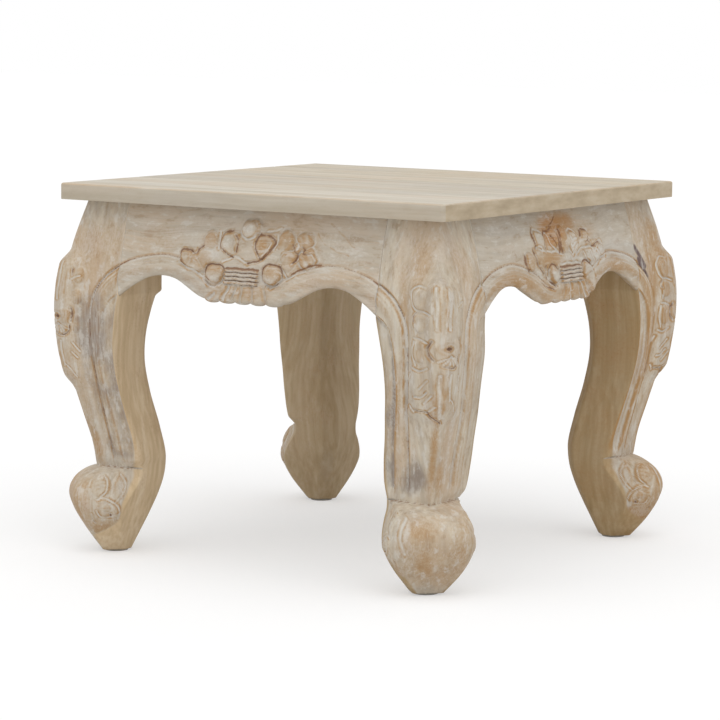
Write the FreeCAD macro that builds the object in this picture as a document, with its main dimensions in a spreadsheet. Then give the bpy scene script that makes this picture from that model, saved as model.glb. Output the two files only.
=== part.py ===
import FreeCAD, Part
import os

import Sketcher
from FreeCAD import Placement, Rotation, Vector

# Low square table with bombe aprons and cabriole legs that end in scroll feet.
# Lengths are in millimetres. The origin is on the floor under the middle of the top, with Z up.
# X runs along the front edge of the top, and the front apron faces -Y.

doc = FreeCAD.newDocument("bajot_low_table")
sheet = doc.addObject("Spreadsheet::Sheet", "sizes")

# Driving sizes
driving_sizes = (
    ("top_length", 500.0),
    ("top_depth", 500.0),
    ("top_thickness", 18.0),
    ("total_height", 412.0),
    ("top_overhang", 21.0),
    ("corner_rounding", 5.0),
    ("arris_rounding", 2.5),
    ("block_width", 61.0),
    ("block_drop", 103.0),
    ("knee_drop", 114.0),
    ("knee_swell", 22.0),
    ("calf_rise", 9.5),
    ("ankle_height", 97.0),
    ("ankle_set_in", 6.0),
    ("ankle_width", 62.5),
    ("neck_width", 75.0),
    ("outer_flat", 5.0),
    ("inner_flat", 12.0),
    ("foot_roll", 24.0),
    ("foot_shoulder", 24.0),
    ("foot_width", 99.0),
    ("foot_base_set_in", 7.0),
    ("foot_base_width", 34.0),
    ("knee_leaf_width", 46.0),
    ("knee_leaf_length", 150.0),
    ("knee_leaf_drop", 56.0),
    ("knee_leaf_relief", 4.0),
    ("rosette_radius", 13.0),
    ("rosette_drop", 130.0),
    ("rosette_rise", 5.0),
    ("apron_thickness", 24.0),
    ("arch_drop", 77.0),
    ("shell_drop", 98.0),
    ("shell_half_width", 50.0),
    ("scallop_depth", 3.5),
    ("crest_half_width", 86.0),
    ("crest_drop", 12.0),
    ("crest_relief", 5.0),
    ("tenon_thickness", 10.0),
    ("tenon_length", 30.0),
    ("tenon_width", 50.0),
    ("tenon_drop", 14.0),
    ("tenon_set_back", 4.0),
    ("joint_clearance", 0.15),
    ("brace_width", 32.0),
    ("brace_thickness", 22.0),
    ("brace_gap", 1.5),
    ("screw_radius", 2.0),
    ("screw_head_radius", 4.0),
    ("screw_head_height", 2.5),
    ("screw_tip_length", 4.0),
    ("apron_screw_length", 30.0),
    ("apron_screw_inset", 10.0),
    ("apron_screw_grip", 13.0),
    ("top_screw_length", 42.0),
    ("top_screw_spacing", 45.0),
    ("pad_radius", 13.0),
    ("pad_thickness", 2.5),
    ("nail_radius", 1.0),
    ("nail_head_radius", 3.0),
    ("nail_head_height", 0.8),
    ("nail_recess", 0.6),
    ("nail_length", 14.0),
    ("overrun", 20.0),
)
for row, (alias, number) in enumerate(driving_sizes, start=1):
    sheet.set(f"A{row}", alias)
    sheet.set(f"B{row}", str(number))
    sheet.setAlias(f"B{row}", alias)
doc.recompute()

# Expressions that several pieces share
HALF_LENGTH = "(sizes.top_length / 2 - sizes.top_overhang)"
HALF_DEPTH = "(sizes.top_depth / 2 - sizes.top_overhang)"
FRAME_TOP = "(sizes.total_height - sizes.top_thickness)"
FOOT_SET_IN = "(sizes.foot_base_set_in + sizes.foot_base_width / 2)"
FOOT_X = f"({HALF_LENGTH} - {FOOT_SET_IN})"
FOOT_Y = f"({HALF_DEPTH} - {FOOT_SET_IN})"
INSIDE_X = f"({HALF_LENGTH} - sizes.apron_thickness)"
INSIDE_Y = f"({HALF_DEPTH} - sizes.apron_thickness)"
BRACE_LEVEL = f"({FRAME_TOP} - sizes.brace_width)"
# x + |y| on the two long faces of a corner brace
BRACE_BACK = f"({HALF_LENGTH} + {HALF_DEPTH} - 2 * sizes.block_width - sizes.brace_gap * sqrt(2))"
BRACE_FRONT = f"({BRACE_BACK} - sizes.brace_thickness * sqrt(2))"


def value(expression):
    return float(sheet.evalExpression(expression))


def size(alias):
    return float(sheet.get(alias))


frame_top = value(FRAME_TOP)
half_length = value(HALF_LENGTH)
half_depth = value(HALF_DEPTH)
block_bottom = frame_top - size("block_drop")
clearance = size("joint_clearance")
overrun = size("overrun")
up = Vector(0, 0, 1)
quarter_turn = 90
corners = (("front_left", -1, -1), ("front_right", 1, -1), ("back_right", 1, 1), ("back_left", -1, 1))
# Name of each side, its frame's half distance out and the half length along it
sides = (("front", half_depth, half_length), ("right", half_length, half_depth),
         ("back", half_depth, half_length), ("left", half_length, half_depth))


# Helpers

def spline(points):
    curve = Part.BSplineCurve()
    curve.interpolate(points)
    return curve.toShape()


def chain(points):
    return [Part.LineSegment(a, b).toShape() for a, b in zip(points, points[1:])]


def face_of(edges):
    return Part.Face(Part.Wire(Part.sortEdges(edges)[0]))


def swap_xy(shape):
    return shape.mirror(Vector(), Vector(1, -1, 0))


def turned(quarter_turns):
    return Placement(Vector(), Rotation(up, quarter_turns * quarter_turn))


def add_feature(label, shape, placement=Placement()):
    feature = doc.addObject("Part::Feature", label)
    feature.Shape = shape
    feature.Placement = placement
    return feature


def add_cylinder(name, radius, height, x, y, z):
    cylinder = doc.addObject("Part::Cylinder", name)
    cylinder.setExpression("Radius", radius)
    cylinder.setExpression("Height", height)
    cylinder.setExpression("Placement.Base.x", x)
    cylinder.setExpression("Placement.Base.y", y)
    cylinder.setExpression("Placement.Base.z", z)
    return cylinder


def add_fuse(name, shapes):
    fuse = doc.addObject("Part::MultiFuse", name)
    fuse.Shapes = shapes
    return fuse


def add_cut(name, base, tool):
    cut = doc.addObject("Part::Cut", name)
    cut.Base = base
    cut.Tool = tool
    return cut


# Sawn curves
# Legs and aprons are sawn to the same curves. A curve is a list of (level, distance out),
# where the distance is measured from the upright plane of the frame's upper edge.

# Outer face, knee to top: (share of the way up, share of the swell)
upper_face_shares = ((1.0, 0.0), (0.62, 0.54), (0.38, 0.80), (0.18, 0.95), (0.0, 1.0))
# Outer face, knee to ankle: (share of the way down, share of the fall)
lower_face_shares = ((0.22, 0.07), (0.44, 0.27), (0.67, 0.60), (0.86, 0.88), (1.0, 1.0))
# Scroll on the foot's outer face: (share of the ankle's height, share of the roll, share of the
# shoulder by which the two sawn faces stand wide of the scroll, so that it is a barrel)
roll_shares = ((1.0, 0.0, 0.0), (0.96, 0.30, 0.40), (0.88, 0.66, 0.85), (0.78, 0.90, 1.0),
               (0.66, 1.0, 1.0), (0.50, 0.86, 1.0), (0.31, 0.54, 1.0))
# Inner face, block to calf: (share of the way from block to ankle, share of the calf's rise)
calf_shares = ((0.0, 0.0), (0.10, 0.45), (0.22, 0.85), (0.38, 1.0))
# Inner face, calf to ankle: (share of the way from block to ankle, share of the fall)
shin_shares = ((0.57, 0.25), (0.78, 0.72), (0.96, 1.0))
# Inner face, ankle to base: (share of the ankle's height, share of the way out to the base)
heel_shares = ((0.87, 0.05), (0.68, 0.20), (0.44, 0.47), (0.22, 0.75))
# Width across the corner, block to neck: (share of the way up, share of the neck's width)
shank_width_shares = ((1.0, 1.75), (0.52, 1.30), (0.36, 1.21), (0.20, 1.17), (0.09, 1.11), (0.0, 1.0))
# Width across the corner of the foot: (share of the ankle's height, share of the foot's width)
foot_width_shares = ((0.88, 0.92), (0.75, 0.99), (0.64, 1.0), (0.54, 0.97), (0.32, 0.73), (0.15, 0.50))
# Half of an apron's lower edge: (share of the way from shell to leg, share of the arch's rise)
arch_shares = ((0.0, 0.0), (0.15, 0.20), (0.34, 0.72), (0.52, 1.0), (0.72, 0.72), (0.88, 0.25), (1.0, 0.0))
# Half of the leaf on the knee: (share of its length from the tip, share of half its width)
knee_leaf_shares = ((0.0, 0.0), (0.13, 0.5), (0.26, 0.8), (0.42, 1.0), (0.62, 1.0), (0.80, 0.92),
                    (0.94, 0.62), (1.0, 0.0))
# Half of an apron's crest: (share of its half width, share of its height over the shell's edge)
crest_shares = ((0.0, 1.0), (0.17, 0.95), (0.30, 0.87), (0.58, 0.90), (0.80, 0.81), (1.0, 0.56),
                (0.87, 0.40), (0.62, 0.24), (0.36, 0.08), (0.0, -0.08))
# Edge joints between the top's boards, as shares of its depth from the front edge
board_joint_shares = (0.0, 0.28, 0.584, 0.82, 1.0)
scallop_count = 5


def outer_face(relief=0):
    knee = frame_top - size("knee_drop")
    ankle = size("ankle_height")
    swell = size("knee_swell")
    fall = swell + size("ankle_set_in")
    points = [(knee + rise * (frame_top - knee), swell * out) for rise, out in upper_face_shares]
    points += [(knee - down * (knee - ankle), swell - fall * lost) for down, lost in lower_face_shares]
    return [(level, out + relief) for level, out in points]


def foot_face(shoulder=0):
    ankle = size("ankle_height")
    points = [(rise * ankle, size("foot_roll") * out + shoulder * wide - size("ankle_set_in"))
              for rise, out, wide in roll_shares]
    return points + [(size("pad_thickness"), shoulder - size("foot_base_set_in"))]


def inner_face():
    ankle = size("ankle_height")
    shank = block_bottom - ankle
    calf_line = size("calf_rise") - size("block_width")
    ankle_line = -size("ankle_set_in") - size("ankle_width")
    base_line = -size("foot_base_set_in") - size("foot_base_width")
    points = [(block_bottom - down * shank, size("calf_rise") * share - size("block_width"))
              for down, share in calf_shares]
    points += [(block_bottom - down * shank, calf_line + (ankle_line - calf_line) * share)
               for down, share in shin_shares]
    points += [(rise * ankle, ankle_line + (base_line - ankle_line) * share) for rise, share in heel_shares]
    return points + [(size("pad_thickness"), base_line)]


def shank_width():
    ankle = size("ankle_height")
    return [(ankle + rise * (block_bottom - ankle), size("neck_width") * share)
            for rise, share in shank_width_shares]


def foot_width():
    ankle = size("ankle_height")
    points = [(ankle, size("neck_width"))]
    points += [(rise * ankle, size("foot_width") * share) for rise, share in foot_width_shares]
    return points + [(size("pad_thickness"), size("foot_base_width"))]


# Legs
# A leg is modelled at its own origin, the upright line where the frame's two outer faces meet,
# for the corner where X and Y are both positive. It is sawn from one template on two
# neighbouring faces, and its four corners are then planed to curves of their own.

def curve_in_xz(curve):
    return [Vector(out, 0, level) for level, out in curve]


def slab(edges):
    # Both ways along Y, past the widest part of the leg
    reach = size("block_width") + size("foot_width")
    body = face_of(edges).extrude(Vector(0, 2 * reach, 0))
    body.translate(Vector(0, -reach, 0))
    return body


def sawn_blank():
    outer = curve_in_xz(outer_face())
    foot = curve_in_xz(foot_face(size("foot_shoulder")))
    inner = curve_in_xz(inner_face())
    edges = [spline(outer), spline(foot), spline(inner)]
    edges += chain([foot[-1], inner[-1]])
    edges += chain([inner[0], Vector(inner[0].x, 0, frame_top), outer[0]])
    return slab(edges)


def between_corner_flats():
    # From the flat on the inner corner out to the flat on the outer corner
    root2 = value("sqrt(2)")
    inner = [Vector((2 * out + size("inner_flat")) / root2, 0, level) for level, out in inner_face()]
    outer = [Vector(root2 * out - size("outer_flat"), 0, level) for level, out in outer_face()]
    foot = [Vector(root2 * out - size("outer_flat"), 0, level) for level, out in foot_face()]
    behind_block = -root2 * size("block_width") - overrun
    edges = [spline(inner), spline(outer), spline(foot)]
    edges += chain([inner[0], Vector(behind_block, 0, block_bottom), Vector(behind_block, 0, frame_top),
                    outer[0]])
    edges += chain([foot[-1], inner[-1]])
    region = slab(edges)
    region.rotate(Vector(), up, quarter_turn / 2)
    return region


def between_side_flats():
    # Between the flats on the two side corners, which fade out below the block
    sides_of_leg = []
    for sign in (-1, 1):
        shank = [Vector(sign * width / 2, 0, level) for level, width in shank_width()]
        foot = [Vector(sign * width / 2, 0, level) for level, width in foot_width()]
        sides_of_leg.append((shank, foot))
    wide = size("block_width") + size("foot_width")
    (left, left_foot), (right, right_foot) = sides_of_leg
    edges = [spline(points) for pair in sides_of_leg for points in pair]
    edges += chain([left[0], Vector(-wide, 0, block_bottom), Vector(-wide, 0, frame_top),
                    Vector(wide, 0, frame_top), Vector(wide, 0, block_bottom), right[0]])
    edges += chain([left_foot[-1], right_foot[-1]])
    region = slab(edges)
    region.rotate(Vector(), up, -quarter_turn / 2)
    return region


def mirrored_outline(half):
    # Both halves of an outline that is given for positive X, from end to end
    other = [Vector(-point.x, point.y, point.z) for point in half]
    return [spline(half), spline(other)]


def knee_leaf():
    # The raised ground of the leaf carved down the knee, with a rosette standing on it
    relief = size("knee_leaf_relief")
    length = size("knee_leaf_length")
    tip = frame_top - size("knee_leaf_drop") - length
    outline = [Vector(size("knee_leaf_width") / 2 * wide, 0, tip + length * rise)
               for rise, wide in knee_leaf_shares]
    outer = curve_in_xz(outer_face(relief))
    behind = -size("block_width") / 2
    edges = [spline(outer)]
    edges += chain([outer[-1], Vector(behind, 0, outer[-1].z), Vector(behind, 0, frame_top), outer[0]])
    proud = slab(edges)
    reach = 2 * size("block_width")
    prism = face_of(mirrored_outline(outline)).extrude(Vector(0, reach, 0))
    prism.translate(Vector(0, -size("block_width") / 2, 0))
    prism.rotate(Vector(), up, -quarter_turn / 2)
    return proud.common(swap_xy(proud)).common(prism)


def rosette():
    root2 = value("sqrt(2)")
    front = root2 * size("knee_swell") + size("rosette_rise")
    depth = size("rosette_rise") + size("rosette_radius")
    disc = Part.makeCylinder(size("rosette_radius"), depth,
                             Vector(front - depth, 0, frame_top - size("rosette_drop")), Vector(1, 0, 0))
    disc.rotate(Vector(), up, quarter_turn / 2)
    return disc


def tenon(grow):
    # Tenon of the apron that runs along X behind the leg, larger by grow for its mortise
    box = Part.makeBox(size("tenon_length") + 2 * grow, size("tenon_thickness") + 2 * grow,
                       size("tenon_width") + 2 * grow)
    low = frame_top - size("tenon_drop") - size("tenon_width")
    box.translate(Vector(-size("block_width") - grow,
                         size("tenon_set_back") - size("apron_thickness") - grow, low - grow))
    return box


def leg_shape():
    blank = sawn_blank()
    leg = blank.common(swap_xy(blank)).common(between_corner_flats()).common(between_side_flats())
    leg = leg.fuse(knee_leaf()).fuse(rosette())
    mortise = tenon(clearance)
    leg = leg.cut(mortise).cut(swap_xy(mortise))
    foot_middle = -value(FOOT_SET_IN)
    nail_hole = Part.makeCylinder(size("nail_radius") + clearance, size("nail_length") + clearance,
                                  Vector(foot_middle, foot_middle, 0))
    return leg.cut(nail_hole)


def add_legs():
    shape = leg_shape()
    legs = []
    for index, (corner, sign_x, sign_y) in enumerate(corners):
        place = Placement(Vector(sign_x * half_length, sign_y * half_depth, 0),
                          Rotation(up, (index - 2) * quarter_turn))
        legs.append(add_feature(f"leg_{corner}", shape, place))
    return legs


# Aprons
# An apron is modelled along X at the -Y side and turned to its own side. Its face follows the
# legs' curve, and its lower edge rises in an arch either side of a scalloped shell.

def lower_edge(run):
    shell_level = frame_top - size("shell_drop")
    arch_rise = size("shell_drop") - size("arch_drop")
    shell = size("shell_half_width")
    arch = []
    for along, rise in arch_shares:
        base = shell_level + (block_bottom - shell_level) * along
        arch.append(Vector(shell + (run - shell) * along, 0, base + arch_rise * rise))
    edges = mirrored_outline(arch)
    pitch = 2 * shell / scallop_count
    for index in range(scallop_count):
        left = index * pitch - shell
        middle = left + pitch / 2
        depth = size("scallop_depth") * (1 + arch_shares[2][1] * (1 - abs(middle) / shell))
        edges.append(Part.Arc(Vector(left, 0, shell_level), Vector(middle, 0, shell_level - depth),
                              Vector(left + pitch, 0, shell_level)).toShape())
    return edges


def sawn_board(half, run, relief):
    # The back is bevelled off below the tenons, down to the shell
    inside = size("apron_thickness") - half
    outer = [Vector(0, -half - out, level) for level, out in outer_face(relief)]
    bevel_top = Vector(0, inside, frame_top - size("tenon_drop") - size("tenon_width"))
    bevel_foot = Vector(0, -half, frame_top - size("shell_drop"))
    section = [spline(outer)]
    section += chain([outer[-1], bevel_foot, bevel_top, Vector(0, inside, frame_top), outer[0]])
    board = face_of(section).extrude(Vector(2 * run, 0, 0))
    board.translate(Vector(-run, 0, 0))
    return board


def crest(half, run):
    # The raised ground of the flowers and shell in the middle of an apron
    low = frame_top - size("shell_drop")
    height = size("shell_drop") - size("crest_drop")
    outline = [Vector(size("crest_half_width") * wide, 0, low + height * rise)
               for wide, rise in crest_shares]
    prism = face_of(mirrored_outline(outline)).extrude(Vector(0, 2 * half, 0))
    prism.translate(Vector(0, -2 * half, 0))
    return sawn_board(half, run, size("crest_relief")).common(prism)


def apron_shape(half, frame_half_run):
    run = frame_half_run - size("block_width")
    outline = lower_edge(run)
    outline += chain([Vector(run, 0, block_bottom), Vector(run, 0, frame_top),
                      Vector(-run, 0, frame_top), Vector(-run, 0, block_bottom)])
    silhouette = face_of(outline).extrude(Vector(0, 2 * half, 0))
    silhouette.translate(Vector(0, -2 * half, 0))
    apron = sawn_board(half, run, 0).fuse(crest(half, run)).common(silhouette)
    right_tenon = tenon(0).mirror(Vector(), Vector(0, 1, 0))
    right_tenon.translate(Vector(frame_half_run, -half, 0))
    apron = apron.fuse(right_tenon).fuse(right_tenon.mirror(Vector(), Vector(1, 0, 0)))
    for spot in apron_screw_spots(half):
        apron = apron.cut(screw_hole(size("apron_screw_length"), spot))
    return apron


def add_aprons():
    return [add_feature(f"apron_{side}", apron_shape(half, run), turned(index))
            for index, (side, half, run) in enumerate(sides)]


# Corner braces and screws
# A brace crosses each corner behind the leg, with its ends cut to lie on the two aprons.
# Each screw lies along its own Z, with its head seated at the origin and its tip up.

def apron_screw_spots(half):
    # The two screws from braces into an apron on the -Y side
    inside = half - size("apron_thickness")
    seat = size("apron_screw_grip") - inside
    along = value(BRACE_BACK) - inside - size("apron_screw_inset")
    level = value(BRACE_LEVEL) + size("brace_width") / 2
    outwards = Rotation(up, Vector(0, -1, 0))
    return [Placement(Vector(side * along, seat, level), outwards) for side in (-1, 1)]


def all_apron_screw_spots():
    return [turned(index).multiply(spot) for index, (side, half, run) in enumerate(sides)
            for spot in apron_screw_spots(half)]


def top_screw_spots(sign_x, sign_y):
    # The two screws from one brace up into the top
    middle = (value(BRACE_BACK) + value(BRACE_FRONT)) / 4
    shift = size("top_screw_spacing") / 2 / value("sqrt(2)")
    skew = (half_length - half_depth) / 2
    return [Placement(Vector(sign_x * (middle + skew + step), sign_y * (middle - skew - step),
                             value(BRACE_LEVEL)), Rotation())
            for step in (-shift, shift)]


def all_top_screw_spots():
    return [spot for corner, sign_x, sign_y in corners for spot in top_screw_spots(sign_x, sign_y)]


def screw_hole(length, spot):
    hole = Part.makeCylinder(size("screw_radius") + clearance, length + clearance)
    hole.Placement = spot
    return hole


def head_pocket(spot):
    depth = size("brace_thickness") + overrun
    pocket = Part.makeCylinder(size("screw_head_radius") + clearance, depth)
    pocket.Placement = spot.multiply(Placement(Vector(0, 0, -depth), Rotation()))
    return pocket


def bind_point(sketch, geometry, place):
    for kind, expression in zip(("DistanceX", "DistanceY"), place):
        constraint = Sketcher.Constraint(kind, -1, 1, geometry, 1, value(expression))
        index = sketch.addConstraint(constraint)
        sketch.setExpression(f"Constraints[{index}]", expression)


def padded_polygon(name, places, height, level):
    # A body padded up from a polygon whose corners are pairs of expressions
    body = doc.addObject("PartDesign::Body", name)
    sketch = body.newObject("Sketcher::SketchObject", f"{name}_outline")
    plane = next(feature for feature in body.Origin.OriginFeatures if feature.Role == "XY_Plane")
    sketch.AttachmentSupport = [(plane, "")]
    sketch.MapMode = "FlatFace"
    points = [Vector(value(x), value(y), 0) for x, y in places]
    count = len(points)
    for index in range(count):
        sketch.addGeometry(Part.LineSegment(points[index], points[(index + 1) % count]))
    for index in range(count):
        sketch.addConstraint(Sketcher.Constraint("Coincident", index, 2, (index + 1) % count, 1))
    for index, place in enumerate(places):
        bind_point(sketch, index, place)
    pad = body.newObject("PartDesign::Pad", f"{name}_pad")
    pad.Profile = sketch
    pad.setExpression("Length", height)
    body.setExpression("Placement.Base.z", level)
    doc.recompute()
    return body, pad


def add_braces():
    braces = []
    for corner, sign_x, sign_y in corners:
        outline = ((f"{BRACE_BACK} - {INSIDE_Y}", INSIDE_Y), (INSIDE_X, f"{BRACE_BACK} - {INSIDE_X}"),
                   (INSIDE_X, f"{BRACE_FRONT} - {INSIDE_X}"), (f"{BRACE_FRONT} - {INSIDE_Y}", INSIDE_Y))
        places = [(f"{sign_x} * ({x})", f"{sign_y} * ({y})") for x, y in outline]
        if sign_x * sign_y < 0:
            places.reverse()
        body, pad = padded_polygon(f"brace_blank_{corner}", places, "sizes.brace_width", BRACE_LEVEL)
        holes = [screw_hole(size("top_screw_length"), spot) for spot in top_screw_spots(sign_x, sign_y)]
        for spot in all_apron_screw_spots():
            if spot.Base.x * sign_x > 0 and spot.Base.y * sign_y > 0:
                holes += [screw_hole(size("apron_screw_length"), spot), head_pocket(spot)]
        tool = add_feature(f"brace_holes_{corner}", Part.makeCompound(holes))
        braces.append(add_cut(f"corner_brace_{corner}", body, tool))
    return braces


def screw_group(name, length, spots):
    head = add_cylinder(f"{name}_head", "sizes.screw_head_radius", "sizes.screw_head_height",
                        "0", "0", "-sizes.screw_head_height")
    shank = add_cylinder(f"{name}_shank", "sizes.screw_radius", f"{length} - sizes.screw_tip_length",
                         "0", "0", "0")
    tip = doc.addObject("Part::Cone", f"{name}_tip")
    tip.setExpression("Radius1", "sizes.screw_radius")
    tip.setExpression("Radius2", "sizes.screw_radius / 4")
    tip.setExpression("Height", "sizes.screw_tip_length")
    tip.setExpression("Placement.Base.z", f"{length} - sizes.screw_tip_length")
    screw = add_fuse(f"{name}_blank", [head, shank, tip])
    doc.recompute()
    copies = []
    for spot in spots:
        copy = screw.Shape.copy()
        copy.Placement = spot
        copies.append(copy)
    return add_feature(name, Part.makeCompound(copies))


# Top
# Boards glued edge to edge, with eased upper edges and rounded corners round the outside.

def outer_edge_names(shape):
    # Upper edges of a board that lie round the outside of the whole top
    names = []
    half = size("top_depth") / 2
    for index, edge in enumerate(shape.Edges, start=1):
        box = edge.BoundBox
        along_joint = box.XLength > size("block_width") and abs(abs(box.YMin) - half) > clearance
        if box.ZMin > size("top_thickness") - clearance and not along_joint:
            names.append(f"Edge{index}")
    return names


def corner_edge_names(shape):
    names = []
    half = size("top_depth") / 2
    for index, edge in enumerate(shape.Edges, start=1):
        box = edge.BoundBox
        if box.ZLength > clearance and abs(abs(box.YMin) - half) < clearance:
            names.append(f"Edge{index}")
    return names


def add_fillet(body, base, names, radius):
    fillet = body.newObject("PartDesign::Fillet", f"{base.Name}_round")
    fillet.Base = (base, names)
    fillet.setExpression("Radius", radius)
    doc.recompute()
    return fillet


def add_boards():
    boards = []
    for index, (low, high) in enumerate(zip(board_joint_shares, board_joint_shares[1:]), start=1):
        y_low = f"sizes.top_depth * {low} - sizes.top_depth / 2"
        y_high = f"sizes.top_depth * {high} - sizes.top_depth / 2"
        left, right = "-sizes.top_length / 2", "sizes.top_length / 2"
        places = ((left, y_low), (right, y_low), (right, y_high), (left, y_high))
        body, last = padded_polygon(f"board_blank_{index}", places, "sizes.top_thickness", FRAME_TOP)
        outside_corners = corner_edge_names(last.Shape)
        if outside_corners:
            last = add_fillet(body, last, outside_corners, "sizes.corner_rounding")
        last = add_fillet(body, last, outer_edge_names(last.Shape), "sizes.arris_rounding")
        body.Tip = last
        holes = [screw_hole(size("top_screw_length"), spot) for spot in all_top_screw_spots()
                 if value(y_low) < spot.Base.y < value(y_high)]
        label = f"top_board_{index}"
        if holes:
            tool = add_feature(f"board_holes_{index}", Part.makeCompound(holes))
            boards.append(add_cut(label, body, tool))
        else:
            body.Label = label
            boards.append(body)
    return boards


# Foot pads and their nails

def add_pads():
    pads = []
    for corner, sign_x, sign_y in corners:
        x = f"{sign_x} * {FOOT_X}"
        y = f"{sign_y} * {FOOT_Y}"
        disc = add_cylinder(f"pad_disc_{corner}", "sizes.pad_radius", "sizes.pad_thickness", x, y, "0")
        hole = add_cylinder(f"pad_hole_{corner}", "sizes.nail_radius + sizes.joint_clearance",
                            "sizes.pad_thickness + sizes.overrun", x, y, "0")
        recess = add_cylinder(f"pad_recess_{corner}", "sizes.nail_head_radius + sizes.joint_clearance",
                              "sizes.nail_recess + sizes.nail_head_height + sizes.overrun",
                              x, y, "-sizes.overrun")
        tool = add_fuse(f"pad_drilling_{corner}", [hole, recess])
        pads.append(add_cut(f"foot_pad_{corner}", disc, tool))
    return pads


def add_nails():
    nails = []
    seat = size("nail_recess") + size("nail_head_height")
    for corner, sign_x, sign_y in corners:
        foot = Vector(sign_x * value(FOOT_X), sign_y * value(FOOT_Y), 0)
        head = Part.makeCylinder(size("nail_head_radius"), size("nail_head_height"),
                                 foot + Vector(0, 0, size("nail_recess")))
        shank = Part.makeCylinder(size("nail_radius"), size("nail_length") - seat,
                                  foot + Vector(0, 0, seat))
        nails.append(head.fuse(shank))
    return add_feature("pad_nails", Part.makeCompound(nails))


# Assembly

pieces = add_boards() + add_aprons() + add_legs() + add_braces() + add_pads()
pieces.append(screw_group("apron_screws", "sizes.apron_screw_length", all_apron_screw_spots()))
pieces.append(screw_group("top_screws", "sizes.top_screw_length", all_top_screw_spots()))
pieces.append(add_nails())
doc.recompute()

for item in doc.Objects:
    if "Invalid" in item.State or "Error" in item.State:
        raise RuntimeError(f"{item.Label} did not recompute: {item.State}")
for piece in pieces:
    if piece.Shape.isNull() or not piece.Shape.isValid():
        raise RuntimeError(f"{piece.Label} has no valid shape")

os.makedirs("parts", exist_ok=True)
for piece in pieces:
    piece.Shape.exportStep(f"parts/{piece.Label}.step")
    box = piece.Shape.BoundBox
    print(f"{piece.Label:28s} {len(piece.Shape.Solids)} solid(s) {piece.Shape.Volume / 1000:9.2f} cm3  "
          f"x {box.XMin:.1f}..{box.XMax:.1f} y {box.YMin:.1f}..{box.YMax:.1f} z {box.ZMin:.1f}..{box.ZMax:.1f}")
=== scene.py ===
# %% [markdown]
# # A carved low table in limed wood
# The imported CAD model comes first. It fixes where every piece is and how large it may be,
# and everything after it only dresses those pieces.

# %% Load the CAD frame
import math

import bmesh
import bpy
import numpy as np
from mathutils import Matrix, Vector


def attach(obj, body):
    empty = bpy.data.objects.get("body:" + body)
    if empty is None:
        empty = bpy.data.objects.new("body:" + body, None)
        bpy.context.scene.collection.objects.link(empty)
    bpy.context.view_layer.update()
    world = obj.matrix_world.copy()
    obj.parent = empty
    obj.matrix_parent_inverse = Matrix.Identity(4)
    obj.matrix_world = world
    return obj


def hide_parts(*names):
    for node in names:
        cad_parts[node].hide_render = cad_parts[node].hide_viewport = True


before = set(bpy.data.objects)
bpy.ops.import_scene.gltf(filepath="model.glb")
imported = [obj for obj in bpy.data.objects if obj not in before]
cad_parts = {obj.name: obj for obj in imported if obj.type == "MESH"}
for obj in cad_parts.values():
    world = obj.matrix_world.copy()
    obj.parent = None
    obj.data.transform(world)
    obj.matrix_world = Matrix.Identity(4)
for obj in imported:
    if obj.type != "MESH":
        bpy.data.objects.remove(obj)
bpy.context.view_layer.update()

# %% [markdown]
# ## The camera
# A long lens stands low and a little to the right of the front. The photograph's lines give
# its place and turn, so it is set from two angles and a roll and not aimed by eye.

# %% Camera
# The photograph gives the lens, in mm, the place, in metres, and the angles, in degrees
camera_place = (1.81364, -2.78094, 0.62479)
azimuth, elevation, roll = (math.radians(angle) for angle in (33.33, 7.13, 0.62))


def placed(name, data):
    thing = bpy.data.objects.new(name, data)
    bpy.context.scene.collection.objects.link(thing)
    return thing


camera_data = bpy.data.cameras.new("camera")
camera_data.lens = 147.42
camera_data.sensor_width = 36.0
camera_data.clip_end = 50.0
camera = placed("camera", camera_data)
bpy.context.scene.camera = camera
back = Vector((math.sin(azimuth) * math.cos(elevation), -math.cos(azimuth) * math.cos(elevation),
               math.sin(elevation)))
level_right = (-back).cross(Vector((0, 0, 1))).normalized()
level_up = level_right.cross(-back)
right = level_right * math.cos(roll) + level_up * math.sin(roll)
upward = level_up * math.cos(roll) - level_right * math.sin(roll)
camera_turn = Matrix((right, upward, back)).transposed()
camera.matrix_world = Matrix.Translation(camera_place) @ camera_turn.to_4x4()
print("Camera stands", round(camera.matrix_world.translation.length, 2), "m away")

# %% [markdown]
# ## Nodes and colours
# Every finish below is built from shader nodes. One helper adds a node with its settings,
# values and links, and one turns a screen colour into the linear colour that Blender needs.

# %% Node and colour helpers
MM = 0.001


def add_node(tree, kind, inputs=None, **settings):
    node = tree.nodes.new("ShaderNode" + kind)
    for name, setting in settings.items():
        setattr(node, name, setting)
    for name, value in (inputs or {}).items():
        if isinstance(value, bpy.types.NodeSocket):
            tree.links.new(value, node.inputs[name])
        else:
            node.inputs[name].default_value = value
    return node


def linear(hex_code):
    channels = [int(hex_code[start:start + 2], 16) / 255 for start in (1, 3, 5)]
    return tuple(c / 12.92 if c <= 0.04045 else ((c + 0.055) / 1.055) ** 2.4 for c in channels) + (1.0,)


def new_tree(owner):
    owner.use_nodes = True
    owner.node_tree.nodes.clear()
    return owner.node_tree


print("Mid beige in linear light:", [round(c, 3) for c in linear("#BCAD96")])

# %% [markdown]
# ## Light and floor
# The table stands in a white studio. A broad soft light from above and weaker ones from the
# front and the right shape it, and the white surroundings fill the shadows. The lamps are suns
# with a very wide disc, so light falls evenly over the whole floor and every shadow is soft.

# %% World
fill_level = 0.60
world = bpy.data.worlds.new("studio")
bpy.context.scene.world = world
tree = new_tree(world)
path = add_node(tree, "LightPath")
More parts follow.
